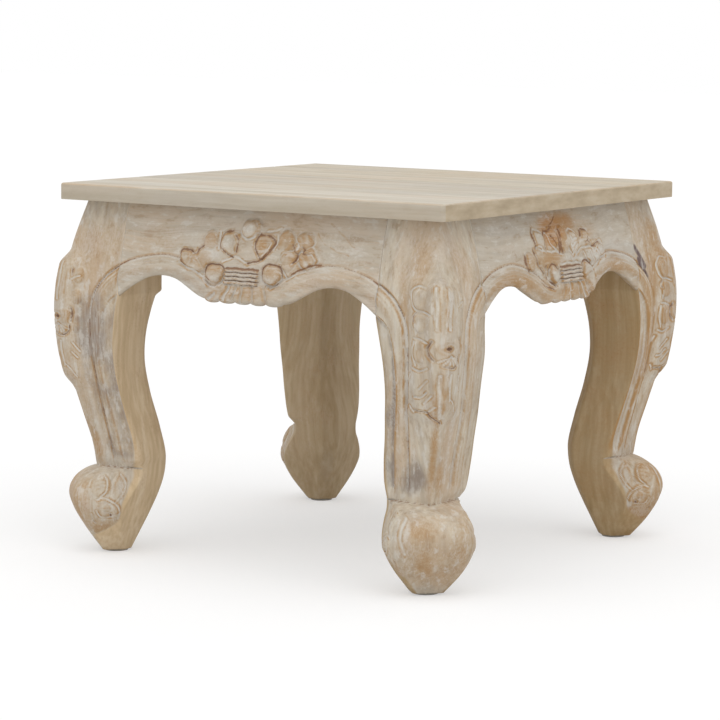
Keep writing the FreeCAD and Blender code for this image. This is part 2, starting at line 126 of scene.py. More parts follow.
# Pure white where the camera sees it, directly, mirrored or through glass, and dimmer as light
seen = path.outputs["Is Camera Ray"]
for ray in ("Is Glossy Ray", "Is Transmission Ray"):
    seen = add_node(tree, "Math", {0: seen, 1: path.outputs[ray]}, operation="MAXIMUM").outputs[0]
strength = add_node(tree, "MapRange", {"Value": seen, "To Min": fill_level, "To Max": 1.0})
surround = add_node(tree, "Background", {"Color": (1, 1, 1, 1), "Strength": strength.outputs[0]})
add_node(tree, "OutputWorld", {"Surface": surround.outputs[0]})
print("World has", len(tree.nodes), "nodes")

# %% Soft suns
bpy.context.scene.view_settings.view_transform = "Standard"


def soft_sun(name, comes_from, strength, spread):
    sun = bpy.data.lights.new(name, "SUN")
    sun.energy = strength
    sun.angle = math.radians(spread)
    placed(name, sun).rotation_euler = Vector(comes_from).to_track_quat("Z", "Y").to_euler()


soft_sun("overhead_light", (0.1, -0.2, 1.0), 1.15, 70)
soft_sun("front_light", (-0.15, -1.0, 0.55), 0.33, 60)
soft_sun("side_light", (1.0, -0.25, 0.5), 0.42, 60)
print("Suns:", [light.name for light in bpy.data.lights])

# %% Floor
floor_half = 14.0
floor_glow = 0.47
floor_mesh = bpy.data.meshes.new("studio_floor")
bm = bmesh.new()
bmesh.ops.create_grid(bm, x_segments=1, y_segments=1, size=floor_half)
bm.to_mesh(floor_mesh)
bm.free()
studio_floor = placed("studio_floor", floor_mesh)

# Matt white studio paper. To the camera it is half light of its own and half paper, so that it
# meets the white surroundings without a line and takes only the pale shadows of the feet.
floor_paper = bpy.data.materials.new("white_studio_paper")
tree = new_tree(floor_paper)
camera_ray = add_node(tree, "LightPath").outputs["Is Camera Ray"]
tone = add_node(tree, "Mix", {0: camera_ray, 6: linear("#E6E6E6"), 7: linear("#BFBFBF")}, data_type="RGBA")
paper = add_node(tree, "BsdfDiffuse", {"Color": tone.outputs[2]})
lift = add_node(tree, "Math", {0: camera_ray, 1: floor_glow}, operation="MULTIPLY")
glow = add_node(tree, "Emission", {"Color": (1, 1, 1, 1), "Strength": lift.outputs[0]})
both = add_node(tree, "AddShader", {0: paper.outputs[0], 1: glow.outputs[0]})
add_node(tree, "OutputMaterial", {"Surface": both.outputs[0]})
floor_mesh.materials.append(floor_paper)
print("Studio ready")

# %% [markdown]
# ## Limed hardwood
# The real table is a pale hardwood, brushed and washed with white lime. The wash stays in the
# pores, the cut lines and the hollows, and is rubbed off the ridges, where the wood shows tan.
# Noise stretched along the grain gives streaks. The mesh carries values for each point that
# steer the wash: how hollow it is, how bare the wood is left, and where resin or iron stains it.

# %% Node shorthands
# Turns that lay the pattern's long direction, Z, along the grain of a piece
grain_turns = {"upright": (0.0, 0.0, 0.0),
               "along_x": (0.0, math.radians(90), 0.0),
               "along_y": (math.radians(90), 0.0, 0.0)}


def mix_colours(tree, factor, first, second):
    return add_node(tree, "Mix", {0: factor, 6: first, 7: second}, data_type="RGBA").outputs[2]


def calculate(tree, operation, *values):
    return add_node(tree, "Math", dict(enumerate(values)), operation=operation).outputs[0]


def multiply(tree, first, second):
    return calculate(tree, "MULTIPLY", first, second)


def scaled(tree, value, factor, added):
    return calculate(tree, "MULTIPLY_ADD", value, factor, added)


def tinted(tree, wood, share, strength, hex_code):
    return mix_colours(tree, multiply(tree, share, strength), wood, linear(hex_code))


def between(tree, value, low, high):
    # 0 below low and 1 above high, with a soft step between them
    return add_node(tree, "MapRange", {"Value": value, "From Min": low, "From Max": high},
                    interpolation_type="SMOOTHSTEP").outputs[0]


def noise(tree, place, scale, detail, roughness=0.5):
    return add_node(tree, "TexNoise", {"Vector": place, "Scale": scale, "Detail": detail,
                                       "Roughness": roughness}).outputs[0]


def stretched(tree, place, *scale):
    return add_node(tree, "Mapping", {"Vector": place, "Scale": scale}).outputs[0]


def colour_ramp(tree, value, stops):
    node = add_node(tree, "ValToRGB", {"Fac": value})
    elements = node.color_ramp.elements
    while len(elements) < len(stops):
        elements.new(0.5)
    for element, (position, hex_code) in zip(elements, stops):
        element.position = position
        element.color = linear(hex_code)
    return node.outputs["Color"]


def mesh_value(tree, name):
    return add_node(tree, "Attribute", attribute_name=name).outputs["Fac"]


print("Grain may run:", *grain_turns)


# %% Edges of the top
def board_edges(tree, wood, place, patches):
    # The upper arris, 250 mm from the middle and 412 mm up, is rubbed in places
    x, y, z = add_node(tree, "SeparateXYZ", {0: place}).outputs
    widest = calculate(tree, "MAXIMUM", calculate(tree, "ABSOLUTE", x), calculate(tree, "ABSOLUTE", y))
    at_side, at_top = between(tree, widest, 0.2478, 0.2488), between(tree, z, 0.4095, 0.4105)
    arris = multiply(tree, calculate(tree, "MINIMUM", at_side, at_top), scaled(tree, patches, 1.4, -0.15))
    wood = tinted(tree, wood, arris, 0.6, "#B99A72")
    # Faces that do not look up are darker, as painted shade, and the end grain darker still, in its own
    # colour with upright marks
    facing = add_node(tree, "NewGeometry").outputs["True Normal"]
    x, y, z = add_node(tree, "SeparateXYZ", {0: facing}).outputs
    wood = tinted(tree, wood, between(tree, z, 0.5, 0.1), 0.4, "#A99A84")
    end = between(tree, calculate(tree, "ABSOLUTE", x), 0.75, 0.95)
    marks = noise(tree, stretched(tree, place, 1.0, 0.35, 1.0), 110.0, 3.0)
    end_wood = colour_ramp(tree, marks, ((0.30, "#AA997F"), (0.52, "#B8A78D"), (0.70, "#C1B29A")))
    return mix_colours(tree, multiply(tree, end, 0.95), wood, end_wood)


print("Board edges can be tinted")

# %% Limed wood material
apron_shades = ("#B5A998", "#BEB3A2", "#C7BCAC")
leg_shades = ("#B3A593", "#C2B6A3", "#CFC5B3")
sawn_shades = ("#A48B64", "#B09873", "#BBA583")
pale_sawn_shades = ("#C6AE8B", "#D3BC9A", "#DECBAE")


def limed_wood(name, grain, shades, start=(0.0, 0.0, 0.0), wash=0.45, bare_shades=sawn_shades, sway=0.03,
               boards=False):
    material = bpy.data.materials.new(name)
    tree = new_tree(material)
    table_place = add_node(tree, "TexCoord").outputs["Object"]
    place = add_node(tree, "Mapping", {"Vector": table_place, "Location": start,
                                       "Rotation": grain_turns[grain]}).outputs[0]
    # The grain wanders over about 150 mm of its length, by less in straight-grained pieces
    wander = add_node(tree, "TexNoise", {"Vector": place, "Scale": 7.0, "Detail": 1.0}).outputs["Color"]
    bent = add_node(tree, "VectorMath", {0: wander, 1: (sway, sway, 0.0), 2: place},
                    operation="MULTIPLY_ADD").outputs[0]
    along = stretched(tree, bent, 1.0, 1.0, 0.025)
    # Growth bands about 22 mm apart, streaks about 5 mm apart and pores about 1.5 mm apart,
    # coarser than real pores so that they show
    bands = noise(tree, along, 45.0, 2.0)
    streaks = noise(tree, along, 200.0, 2.0)
    pores = noise(tree, along, 680.0, 2.0)
    patches = noise(tree, place, 24.0, 4.0, 0.6)
    grit = noise(tree, place, 340.0, 3.0, 0.6)
    # Wood colour: broad bands of heartwood and sapwood with finer streaks over them
    figure = scaled(tree, streaks, 0.5, multiply(tree, bands, 0.5))
    washed, sawn = (colour_ramp(tree, figure, list(zip((0.36, 0.50, 0.64), colours)))
                    for colours in (shades, bare_shades))
    bare = mesh_value(tree, "bare")
    covered = scaled(tree, bare, -0.85, 1.0)
    wood = mix_colours(tree, bare, washed, sawn)
    # Broad warm and cool drifts in the wash
    drift = noise(tree, stretched(tree, bent, 1.0, 1.0, 0.2), 22.0, 2.0)
    warm = between(tree, scaled(tree, pores, 0.35, drift), 0.66, 0.84)
    wood = tinted(tree, wood, multiply(tree, warm, covered), 0.25 if boards else 0.55, "#C4AB8F")
    cool = between(tree, scaled(tree, pores, 0.30, drift), 0.60, 0.48)
    wood = tinted(tree, wood, multiply(tree, cool, covered), wash, "#BBB5AC")
    # Brushing left smears of lime and of brown wood, about 8 mm wide and longer along the grain
    smears = noise(tree, stretched(tree, bent, 1.0, 1.0, 0.4), 125.0, 6.0, 0.65)
    smear_share = multiply(tree, covered, 0.2 if boards else 0.75)
    brown_smears = multiply(tree, between(tree, smears, 0.47, 0.33), smear_share)
    wood = tinted(tree, wood, brown_smears, 0.5, "#957551")
    # Tan wood where the wash was rubbed off, on ridges and where the mesh says so
    ragged = scaled(tree, patches, 1.6, -0.8)
    fine = scaled(tree, grit, 2.4, -1.2)
    hollow = mesh_value(tree, "hollow")
    rubbed = scaled(tree, fine, 0.30, scaled(tree, hollow, -0.7, mesh_value(tree, "tan")))
    tan = between(tree, scaled(tree, ragged, 0.7, rubbed), 0.05, 1.15)
    wood = tinted(tree, wood, tan, 0.95, "#A98354")
    # Resin stains the wood orange tan, a little iron stains it grey and much iron purple
    resin = calculate(tree, "ADD", mesh_value(tree, "resin"), ragged)
    wood = tinted(tree, wood, between(tree, resin, 0.15, 1.0), 0.6, "#B2804E")
    iron = calculate(tree, "ADD", mesh_value(tree, "iron"), ragged)
    wood = tinted(tree, wood, between(tree, iron, 0.40, 0.90), 0.75, "#80736B")
    wood = tinted(tree, wood, between(tree, iron, 1.0, 1.5), 0.8, "#5E4848")
    # White lime in cuts, hollows and pores
    settled = scaled(tree, fine, 0.6, scaled(tree, hollow, 0.45, mesh_value(tree, "lime")))
    settled = between(tree, scaled(tree, ragged, 0.4, settled), 0.15, 1.05)
    loose = between(tree, scaled(tree, pores, 0.6, patches), 0.80, 1.02)
    lime = calculate(tree, "MAXIMUM", multiply(tree, loose, wash), settled)
    pale_smears = multiply(tree, between(tree, smears, 0.53, 0.66), smear_share)
    lime = calculate(tree, "MAXIMUM", lime, pale_smears)
    lime = multiply(tree, lime, scaled(tree, bare, -0.9, 1.0))
    wood = tinted(tree, wood, lime, 0.75, "#D3CFC7")
    # Dark brown in the deepest cuts, in places as painted shade, and fine brown checks along the grain
    deep = scaled(tree, fine, 0.6, mesh_value(tree, "dark"))
    deep = between(tree, scaled(tree, ragged, 0.5, deep), 0.22, 0.95)
    checks = multiply(tree, between(tree, pores, 0.68, 0.75), 0.3)
    wood = tinted(tree, wood, calculate(tree, "MAXIMUM", deep, checks), 0.85, "#80593A")
    if boards:
        wood = board_edges(tree, wood, table_place, patches)
    # Brushed wood is matt, and the lime on it more so
    gloss = scaled(tree, lime, 0.15, 0.65)
    height = scaled(tree, pores, 0.6, scaled(tree, grit, 0.8, streaks))
    bump = add_node(tree, "Bump", {"Height": height, "Strength": 0.35, "Distance": 0.4 * MM})
    body = add_node(tree, "BsdfPrincipled", {"Base Color": wood, "Roughness": gloss, "IOR": 1.5,
                                             "Normal": bump.outputs[0], "Specular IOR Level": 0.25})
    add_node(tree, "OutputMaterial", {"Surface": body.outputs[0]})
    return material


leg_wood = limed_wood("limed_wood_upright", "upright", leg_shades)
# The front left leg is from a paler plank with straighter grain
pale_leg_wood = limed_wood("limed_pale_wood_upright", "upright", leg_shades, start=(0.2, 0.4, 0.0),
                           bare_shades=pale_sawn_shades, sway=0.010)
apron_wood_x = limed_wood("limed_wood_along_x", "along_x", apron_shades, start=(0.3, 0.1, 0.7))
apron_wood_y = limed_wood("limed_wood_along_y", "along_y", apron_shades, start=(0.9, 0.4, 0.2))
print("Limed wood has", len(leg_wood.node_tree.nodes), "nodes")

# %% [markdown]
# ## Curves that the sawyer follows
# Legs and aprons are sawn to the same profile, so both read it from one place. A curve here is
# a smooth line through a few (level, distance) points, in millimetres, as on a template.

# %% Sizes and smooth curves
frame_half = 229.0
frame_top = 394.0
knee_level = 280.0
block_bottom = 291.0
block_width = 61.0
ankle = 97.0
pad_thickness = 2.5
knee_swell = 22.0
ankle_set_in = 6.0
ankle_width = 62.5
toe_set_in = 7.0
sole_width = 34.0
foot_roll = 24.0
foot_shoulder = 24.0
calf_rise = 9.5
neck_width = 75.0
root2 = math.sqrt(2)


def smooth_curve(points):
    levels, values = np.array(sorted(points), float).T
    slopes = np.gradient(values, levels)

    def value_at(level):
        level = np.clip(level, levels[0], levels[-1])
        index = np.clip(np.searchsorted(levels, level) - 1, 0, len(levels) - 2)
        gap = levels[index + 1] - levels[index]
        t = (level - levels[index]) / gap
        return ((1 + 2 * t) * (1 - t) ** 2 * values[index] + t * (1 - t) ** 2 * gap * slopes[index]
                + t * t * (3 - 2 * t) * values[index + 1] + t * t * (t - 1) * gap * slopes[index + 1])
    return value_at


def smooth_path(points, per_step=5):
    # Points of a smooth line through a few given ones
    if len(points) == 2:
        return points
    fine = np.linspace(0, len(points) - 1, (len(points) - 1) * per_step + 1)
    return list(zip(*(smooth_curve(list(enumerate(places)))(fine) for places in zip(*points))))


def step(value, low, high):
    share = np.clip((value - low) / (high - low), 0, 1)
    return share * share * (3 - 2 * share)


print("The frame is", 2 * frame_half, "mm wide and", frame_top, "mm high")

# %% Profiles
# Outer face: share of the way up from the knee or down from it, and of the swell
fall = knee_swell + ankle_set_in
face_points = [(knee_level + up * (frame_top - knee_level), knee_swell * out)
               for up, out in ((1.0, 0.0), (0.62, 0.54), (0.38, 0.80), (0.18, 0.95), (0.0, 1.0))]
face_points += [(knee_level - down * (knee_level - ankle), knee_swell - fall * lost)
                for down, lost in ((0.22, 0.07), (0.44, 0.27), (0.67, 0.60), (0.86, 0.88), (1.0, 1.0))]
shank_face = smooth_curve(face_points)
# Up the foot: share of the ankle's height, of the roll and of the shoulder beside it
roll_shares = ((1.0, 0.0, 0.0), (0.96, 0.30, 0.40), (0.88, 0.66, 0.85), (0.78, 0.90, 1.0),
               (0.66, 1.0, 1.0), (0.50, 0.86, 1.0), (0.31, 0.54, 1.0))
foot_face = smooth_curve([(up * ankle, foot_roll * out - ankle_set_in) for up, out, wide in roll_shares]
                         + [(pad_thickness, -toe_set_in)])
shoulder = smooth_curve([(up * ankle, foot_shoulder * wide) for up, out, wide in roll_shares]
                        + [(pad_thickness, foot_shoulder)])
# Inner face: down the shank to the calf and the neck, then down the foot to the heel
shank = block_bottom - ankle
calf = calf_rise - block_width
neck = -ankle_set_in - ankle_width
heel = -toe_set_in - sole_width
inner_points = [(block_bottom - down * shank, calf_rise * share - block_width)
                for down, share in ((0.0, 0.0), (0.10, 0.45), (0.22, 0.85), (0.38, 1.0))]
inner_points += [(block_bottom - down * shank, calf + (neck - calf) * share)
                 for down, share in ((0.57, 0.25), (0.78, 0.72), (0.96, 1.0))]
inner_points += [(up * ankle, neck + (heel - neck) * share)
                 for up, share in ((0.87, 0.05), (0.68, 0.20), (0.44, 0.47), (0.22, 0.75))]
inner_face = smooth_curve(inner_points + [(pad_thickness, heel)])
# Width across the corner
shank_shares = ((1.0, 1.75), (0.52, 1.30), (0.36, 1.21), (0.20, 1.17), (0.09, 1.11), (0.0, 1.0))
shank_width = smooth_curve([(ankle + up * shank, neck_width * share) for up, share in shank_shares])
foot_widths = ((1.0, neck_width), (0.94, neck_width), (0.88, 77.0), (0.80, 83.5), (0.72, 89.0), (0.62, 93.5),
               (0.53, 94.0), (0.41, 86.0), (0.25, 68.0), (0.11, 47.0))
foot_width = smooth_curve([(up * ankle, wide) for up, wide in foot_widths] + [(pad_thickness, sole_width)])


def outer_distance(level):
    # From the table's middle plane to the outer face of a leg or apron
    return frame_half + np.where(level < ankle, foot_face(level), shank_face(level))


print("Knee stands out to", float(outer_distance(np.array(knee_level))), "mm")

# %% [markdown]
# ## The lower edge and its moulding
# The apron's lower edge is an arch either side of a scalloped shell. A raised roll follows it
# and runs on down the side of each leg. Its upper side is one deep cut line, with finer lines
# beside it, and on the leg its lower side drops by a step to a narrow plain strip. One list of
# points gives the cut to the aprons and the legs, so the lines meet at the joints. A carved
# face has four layers: the relief in millimetres, and three that say where white lime fills a
# cut, where the wood shows tan and where it is dark brown, in places as painted shade.

# %% Lower edge and cut line
apron_end = frame_half - block_width
shell_half_width = 50.0
shell_level = 296.0
scallop_pitch = 20.0
scallop_depth = 2.8
# Points are (distance along the side, level), and for the roll's side (level, distance)
arch = smooth_curve(((50, 296), (58, 297.5), (67, 301.5), (78, 307.5), (90, 313.5), (104, 317), (118, 317),
                     (132, 313.5), (145, 307), (157, 299.5), (168, 291.5)))
cut_points = ((24, 310), (38, 314), (46, 319), (55, 324), (66, 329.5), (80, 334.5), (94, 338), (108, 339.5),
              (124, 338), (140, 335), (154, 331), (166, 325.5), (178, 318.5), (189, 309.5), (198, 298),
              (204, 284), (206, 268), (206, 250), (205, 230), (203, 207), (200, 180), (197, 150),
              (194, 125), (192, 108), (190, 99))
cut_line = smooth_path(cut_points, 4)
roll_side = smooth_curve(((294, 167), (288.5, 176), (282, 182), (271, 187), (258, 190), (240, 192),
                          (208, 191.5), (186, 188), (163, 184), (135, 180), (110, 177), (99, 175)))


def lower_edge(along):
    middle = np.floor(along / scallop_pitch + 0.5) * scallop_pitch
    scallop = scallop_depth * np.sqrt(np.clip(1 - ((along - middle) / (scallop_pitch / 2)) ** 2, 0, 1))
    return np.where(np.abs(along) < shell_half_width, shell_level - scallop, arch(np.abs(along)))


print("Lower edge at the shell:", round(float(lower_edge(np.array(0.0))), 1), "mm up")


# %% Moulding
def line_distance(along, level, line):
    # Distance from a line, positive on the left of its direction
    nearest = np.full(along.shape, 1e9)
    signed = np.full(along.shape, 1e9)
    for (x0, z0), (x1, z1) in zip(line, line[1:]):
        run, rise = x1 - x0, z1 - z0
        share = np.clip(((along - x0) * run + (level - z0) * rise) / (run * run + rise * rise), 0, 1)
        off_x = along - x0 - share * run
        off_z = level - z0 - share * rise
        distance = np.hypot(off_x, off_z)
        side = np.where(run * off_z - rise * off_x >= 0, 1.0, -1.0)
        signed = np.where(distance < nearest, side * distance, signed)
        nearest = np.minimum(distance, nearest)
    return signed


def soft_line(distance, width):
    # 1 on a line, falling softly to nothing about twice the width away
    return np.exp(-(distance / width) ** 2)


def valley(distance, depth, width):
    return -depth * soft_line(distance, width)


def blank_face(shape):
    return {layer: np.zeros(shape) for layer in ("relief", "lime", "tan", "dark")}


def cover(face, layer, amount):
    face[layer] = np.maximum(face[layer], amount)


def moulding(along, level):
    face = blank_face(along.shape)
    gap = line_distance(np.abs(along), level, cut_line)
    present = step(level, 99, 120)
    # The deep cut and two finer lines, the swell of the roll, and the face dished above the cut
    relief = valley(gap, 2.2, 1.4) + valley(gap + 5.0, 0.55, 0.9) + valley(gap + 9.0, 0.4, 0.9)
    relief = relief + 2.6 * np.sin(math.pi * np.clip(-gap / 20.0, 0, 1))
    relief = relief - 1.4 * np.exp(-np.clip(gap, 0, None) / 10.0) * (gap > 0)
    face["relief"] = relief * present
    uneven = 0.75 + 0.35 * np.sin(0.11 * along + 1) * np.sin(0.13 * level)
    face["lime"] = present * uneven * (0.7 * soft_line(gap + 0.6, 1.3) + 0.3 * soft_line(gap + 7, 4))
    face["tan"] = present * (0.7 * soft_line(gap - 2.2, 1.3) + 0.35 * soft_line(gap + 14, 5))
    face["dark"] = present * (0.5 + 0.5 * step(1.3 - uneven, 0.5, 0.8)) * soft_line(gap - 0.9, 0.8)
    return face


def plain_strip(along, level, across):
    # The strip between the roll and the leg's arris lies lower than the roll, most of all on
    # the left-hand face
    face = blank_face(along.shape)
    present = step(level, 100, 116) * (1 - step(level, 290, 295))
    drop = np.where(across < 0, 3.2, 1.4)
    face["relief"] = -drop * step(roll_side(level) + 0.7 - np.abs(along), 0, 1.5) * present
    face["lime"] = 0.5 * present * soft_line(np.abs(along) - roll_side(level), 1.5)
    return face


print("Layers of a carved face:", *blank_face(1))

# %% [markdown]
# ## Carving
# A leaf or bead is a soft oval bulge. Over the bulges go the strokes of the parting tool, each
# a smooth line that says how deep it is and whether it was left white, tan or brown, and then
# soft patches of lime and of tan.

# %% Carving helpers
def oval_shares(across, up, middle, half_width, half_length, turn=0.0):
    # Places in an oval: 0 in its middle, and 1 or -1 on its sides and ends
    angle = math.radians(turn)
    side = across - middle[0]
    above = up - middle[1]
    p = (side * math.cos(angle) - above * math.sin(angle)) / half_width
    q = (side * math.sin(angle) + above * math.cos(angle)) / half_length
    return p, q


def oval_reach(across, up, middle, half_width, half_length, turn=0.0, squareness=2.3):
    # 0 in the middle of an oval and 1 on its outline, slightly squared as hand-cut leaves are
    p, q = oval_shares(across, up, middle, half_width, half_length, turn)
    return (np.abs(p) ** squareness + np.abs(q) ** squareness) ** (1 / squareness)


def bulge(face, across, up, middle, half_width, half_length, height, turn=0.0, scoop=0.0, ribs=0):
    reach = oval_reach(across, up, middle, half_width, half_length, turn)
    dome = np.clip(1 - reach ** 3.4, 0, 1) ** 0.65
    dome = dome * (1 - scoop * soft_line(reach, 0.6))
    if ribs:
        p, q = oval_shares(across, up, middle, half_width, half_length, turn)
        dome = dome * (1 - 0.11 * (1 + np.cos(2 * math.pi * ribs * (p + 1) / 2)))
    cover(face, "relief", height * dome)


def lay_patches(face, across, up, rows):
    # Each row: layer, middle, half width, half length, share, and turn in degrees if it leans
    for layer, middle, half_width, half_length, share, *turn in rows:
        reach = oval_reach(across, up, middle, half_width, half_length, *(turn or [0.0]), squareness=2.0)
        cover(face, layer, share * np.exp(-reach ** 2.6))


def hand_waver(across, up):
    # A carver's lines wander by half a millimetre or so; these are the places moved that little
    side = 0.55 * np.sin(0.36 * up + 0.3) + 0.12 * np.sin(1.0 * up + 0.6 * across + 1.0)
    above = 0.55 * np.sin(0.33 * across + 1.9) + 0.12 * np.sin(0.9 * across - 0.7 * up)
    return across + side, up + above


def cut_strokes(face, across, up, rows, width=1.1):
    # Each row: finish, depth in mm and the points that the tool passes through
    for finish, depth, points in rows:
        gap = line_distance(across, up, smooth_path(points))
        # A hand-pushed cut wavers in depth
        waver = 0.8 + 0.3 * np.sin(0.45 * across + 0.8) * np.sin(0.38 * up)
        face["relief"] = face["relief"] + valley(gap, depth, width) * waver
        near = soft_line(gap, width)
        beside = soft_line(np.abs(gap) - 2.0 * width, 0.9 * width)
        if finish == "white":
            cover(face, "lime", 0.95 * near * waver)
            cover(face, "tan", 0.75 * beside * waver)
        if finish == "tan":
            cover(face, "tan", 0.9 * near * waver)
        if finish == "brown":
            cover(face, "dark", near * waver)
            cover(face, "tan", 0.8 * beside * waver)


def hollows(relief, reach=2):
    # How far each point of a grid lies below its neighbours, in mm: negative on ridges
    around = 0
    for rings, columns in ((reach, 0), (-reach, 0), (0, reach), (0, -reach)):
        around = around + np.roll(relief, (rings, columns), (0, 1))
    return around / 4 - relief


print("Carving helpers ready")

# %% [markdown]
# ## Leg mesh
# A leg is sawn from a square post on two faces, so its section is a square: sharp on the
# inside, rounded on the outer corner, and with a flat planed off the inner one. A cone tool
# gives a tube of rings and columns. Each ring then takes the section at its own level, and the
# columns are shared out so that one always runs along each sharp arris.

# %% Leg tube
# Columns of half a section: outer face, side arris, inner face, inner flat
half_columns = (66, 3, 13, 4)
leg_columns = 2 * sum(half_columns)
# Rings from the foot up: (how many, up to which level)
leg_zones = ((72, ankle), (46, 186.0), (146, 345.0), (20, frame_top))
leg_rings = sum(count for count, level in leg_zones)
ring_marks = np.cumsum([0] + [count for count, level in leg_zones]) / leg_rings
level_marks = [pad_thickness] + [level for count, level in leg_zones]


def tube(columns, rings):
    # A closed tube, with the column and ring of each of its points
    bm = bmesh.new()
    bmesh.ops.create_cone(bm, cap_ends=True, segments=columns, radius1=1.0, radius2=1.0, depth=1.0)
    upright = [edge for edge in bm.edges if abs(edge.verts[0].co.z - edge.verts[1].co.z) > 0.5]
    bmesh.ops.subdivide_edges(bm, edges=upright, cuts=rings - 1, use_grid_fill=True)
    mesh = bpy.data.meshes.new("tube")
    bm.to_mesh(mesh)
    bm.free()
    places = np.zeros(len(mesh.vertices) * 3)
    mesh.vertices.foreach_get("co", places)
    x, y, z = places.reshape(-1, 3).T
    ring = np.round((z + 0.5) * rings).astype(int)
    column = np.round(np.arctan2(y, x) / (2 * math.pi) * columns).astype(int) % columns
    return mesh, ring, column


leg_mesh, leg_ring, leg_column = tube(leg_columns, leg_rings)
print("Leg tube:", len(leg_mesh.vertices), "points")


# %% Leg section
# A half size that no section reaches
no_limit = 200.0


def section_sizes(level):
    outer = outer_distance(level)
    inner = frame_half + np.where(level < block_bottom, inner_face(level), -block_width)
    wide = np.where(level < ankle, shoulder(level), 0.0)
    half_width = np.where(level < ankle, foot_width(level), shank_width(level)) / 2
    half_width = np.where(level < block_bottom, half_width, no_limit)
    flat = 3.0 + 9.0 * (1 - step(level, 286, 293))
    return outer, inner, wide, half_width, flat


def section_reach(angle, level):
    # From the middle of the section to its surface; angle 0 looks out along the corner
    outer, inner, wide, half_width, flat = section_sizes(level)
    half = (outer - inner) / 2
    foot = 1 - step(level, 94, 98)
    corner_limit = np.where(level < ankle, root2 * half - 7.0, no_limit)
    # Direction of each flat side in degrees, and its distance
    supports = ((45, half + wide), (-45, half + wide), (135, half), (-135, half), (0, corner_limit),
                (180, root2 * half - flat / root2), (90, half_width), (-90, half_width))
    # The power sets how tightly the corners are rounded: by far the tightest on the inside
    sharp_from = 40 + 38 * foot
    sharp = step(np.degrees(np.abs(angle)), sharp_from, sharp_from + 20)
    power = 9.0 - 2.0 * foot + 90.0 * sharp
    ratios = [np.clip(np.cos(angle - math.radians(direction)), 1e-3, 1) / support
              for direction, support in supports]
    peak = np.max(ratios, axis=0)
    total = sum((ratio / peak) ** power for ratio in ratios)
    return 1 / (peak * total ** (1 / power))


def arris_angles(level):
    # Angles of the side flat's two ends and of the inner flat's end
    outer, inner, wide, half_width, flat = section_sizes(level)
    middle = root2 * (outer + inner) / 2
    corner = (outer + wide - inner) / root2
    side = min(float(half_width), float(corner))
    front = root2 * (outer + wide) - side - middle
    behind = root2 * inner + side - middle
    first = math.atan2(side, front) - 0.012
    second = math.atan2(side, behind) + 0.012
    if level < ankle + 1:
        first = second - 0.03
    third = math.atan2(flat / root2, root2 * inner + flat / root2 - middle)
    return first, second, third


leg_levels = np.interp(np.linspace(0, 1, leg_rings + 1), ring_marks, level_marks)
fine_angles = np.linspace(0, math.pi, 1441)
fine_reach = section_reach(fine_angles[None, :], leg_levels[:, None])
half_angles = np.zeros((leg_rings + 1, sum(half_columns) + 1))
for index, level in enumerate(leg_levels):
    out = fine_reach[index] * np.cos(fine_angles)
    across = fine_reach[index] * np.sin(fine_angles)
    # Columns lie closer together over the knee's carving
    dense = 1.0 + 0.5 * (across[1:] < 30) * (level > ankle)
    travelled = np.concatenate(([0], np.cumsum(np.hypot(np.diff(out), np.diff(across)) * dense)))
    knots = (0.0,) + arris_angles(level) + (math.pi,)
    marks = np.interp(knots, fine_angles, travelled)
    order = np.interp(np.arange(sum(half_columns) + 1), np.cumsum((0,) + half_columns), marks)
    half_angles[index] = np.interp(order, travelled, fine_angles)
print("Leg levels:", len(leg_levels))

# %% Leg surface before carving
columns = np.arange(leg_columns)
mirrored = columns > leg_columns // 2
half_index = np.where(mirrored, leg_columns - columns, columns)
leg_angle = half_angles[:, half_index] * np.where(mirrored, -1, 1)
leg_height = np.repeat(leg_levels[:, None], leg_columns, axis=1)
leg_reach = section_reach(leg_angle, leg_height)
section_middle = (outer_distance(leg_height) + section_sizes(leg_height)[1]) / 2
across_corner = leg_reach * np.sin(leg_angle)
out_of_corner = leg_reach * np.cos(leg_angle)
# The right-hand side of each leg was left a few millimetres fuller than the left
fuller = 5.5 * step(leg_height, 97, 108) * (1 - step(leg_height, 245, 291))
side_share = np.clip(across_corner / (shank_width(leg_height) / 2), 0, 1)
across_corner = across_corner + fuller * side_share
# Table coordinates of the leg where X and Y are both positive
leg_x = section_middle + (out_of_corner - across_corner) / root2
leg_y = section_middle + (out_of_corner + across_corner) / root2
# Outward direction of each point, square to its ring
run_x = np.roll(leg_x, -1, 1) - np.roll(leg_x, 1, 1)
run_y = np.roll(leg_y, -1, 1) - np.roll(leg_y, 1, 1)
run = np.hypot(run_x, run_y)
normal_x, normal_y = run_y / run, -run_x / run
print("Leg spans", round(leg_x.min(), 1), "to", round(leg_x.max(), 1), "mm")

# %% [markdown]
# ## Carving on the leg
# A long leaf runs down the knee: lobes and flutes above, a rosette with a drilled eye in the
# middle, and a pointed leaf with a double rib below. Each flank of the foot is the end of a
# scroll, with two lobes, a double ridge and a square whorl round a drilled bead.

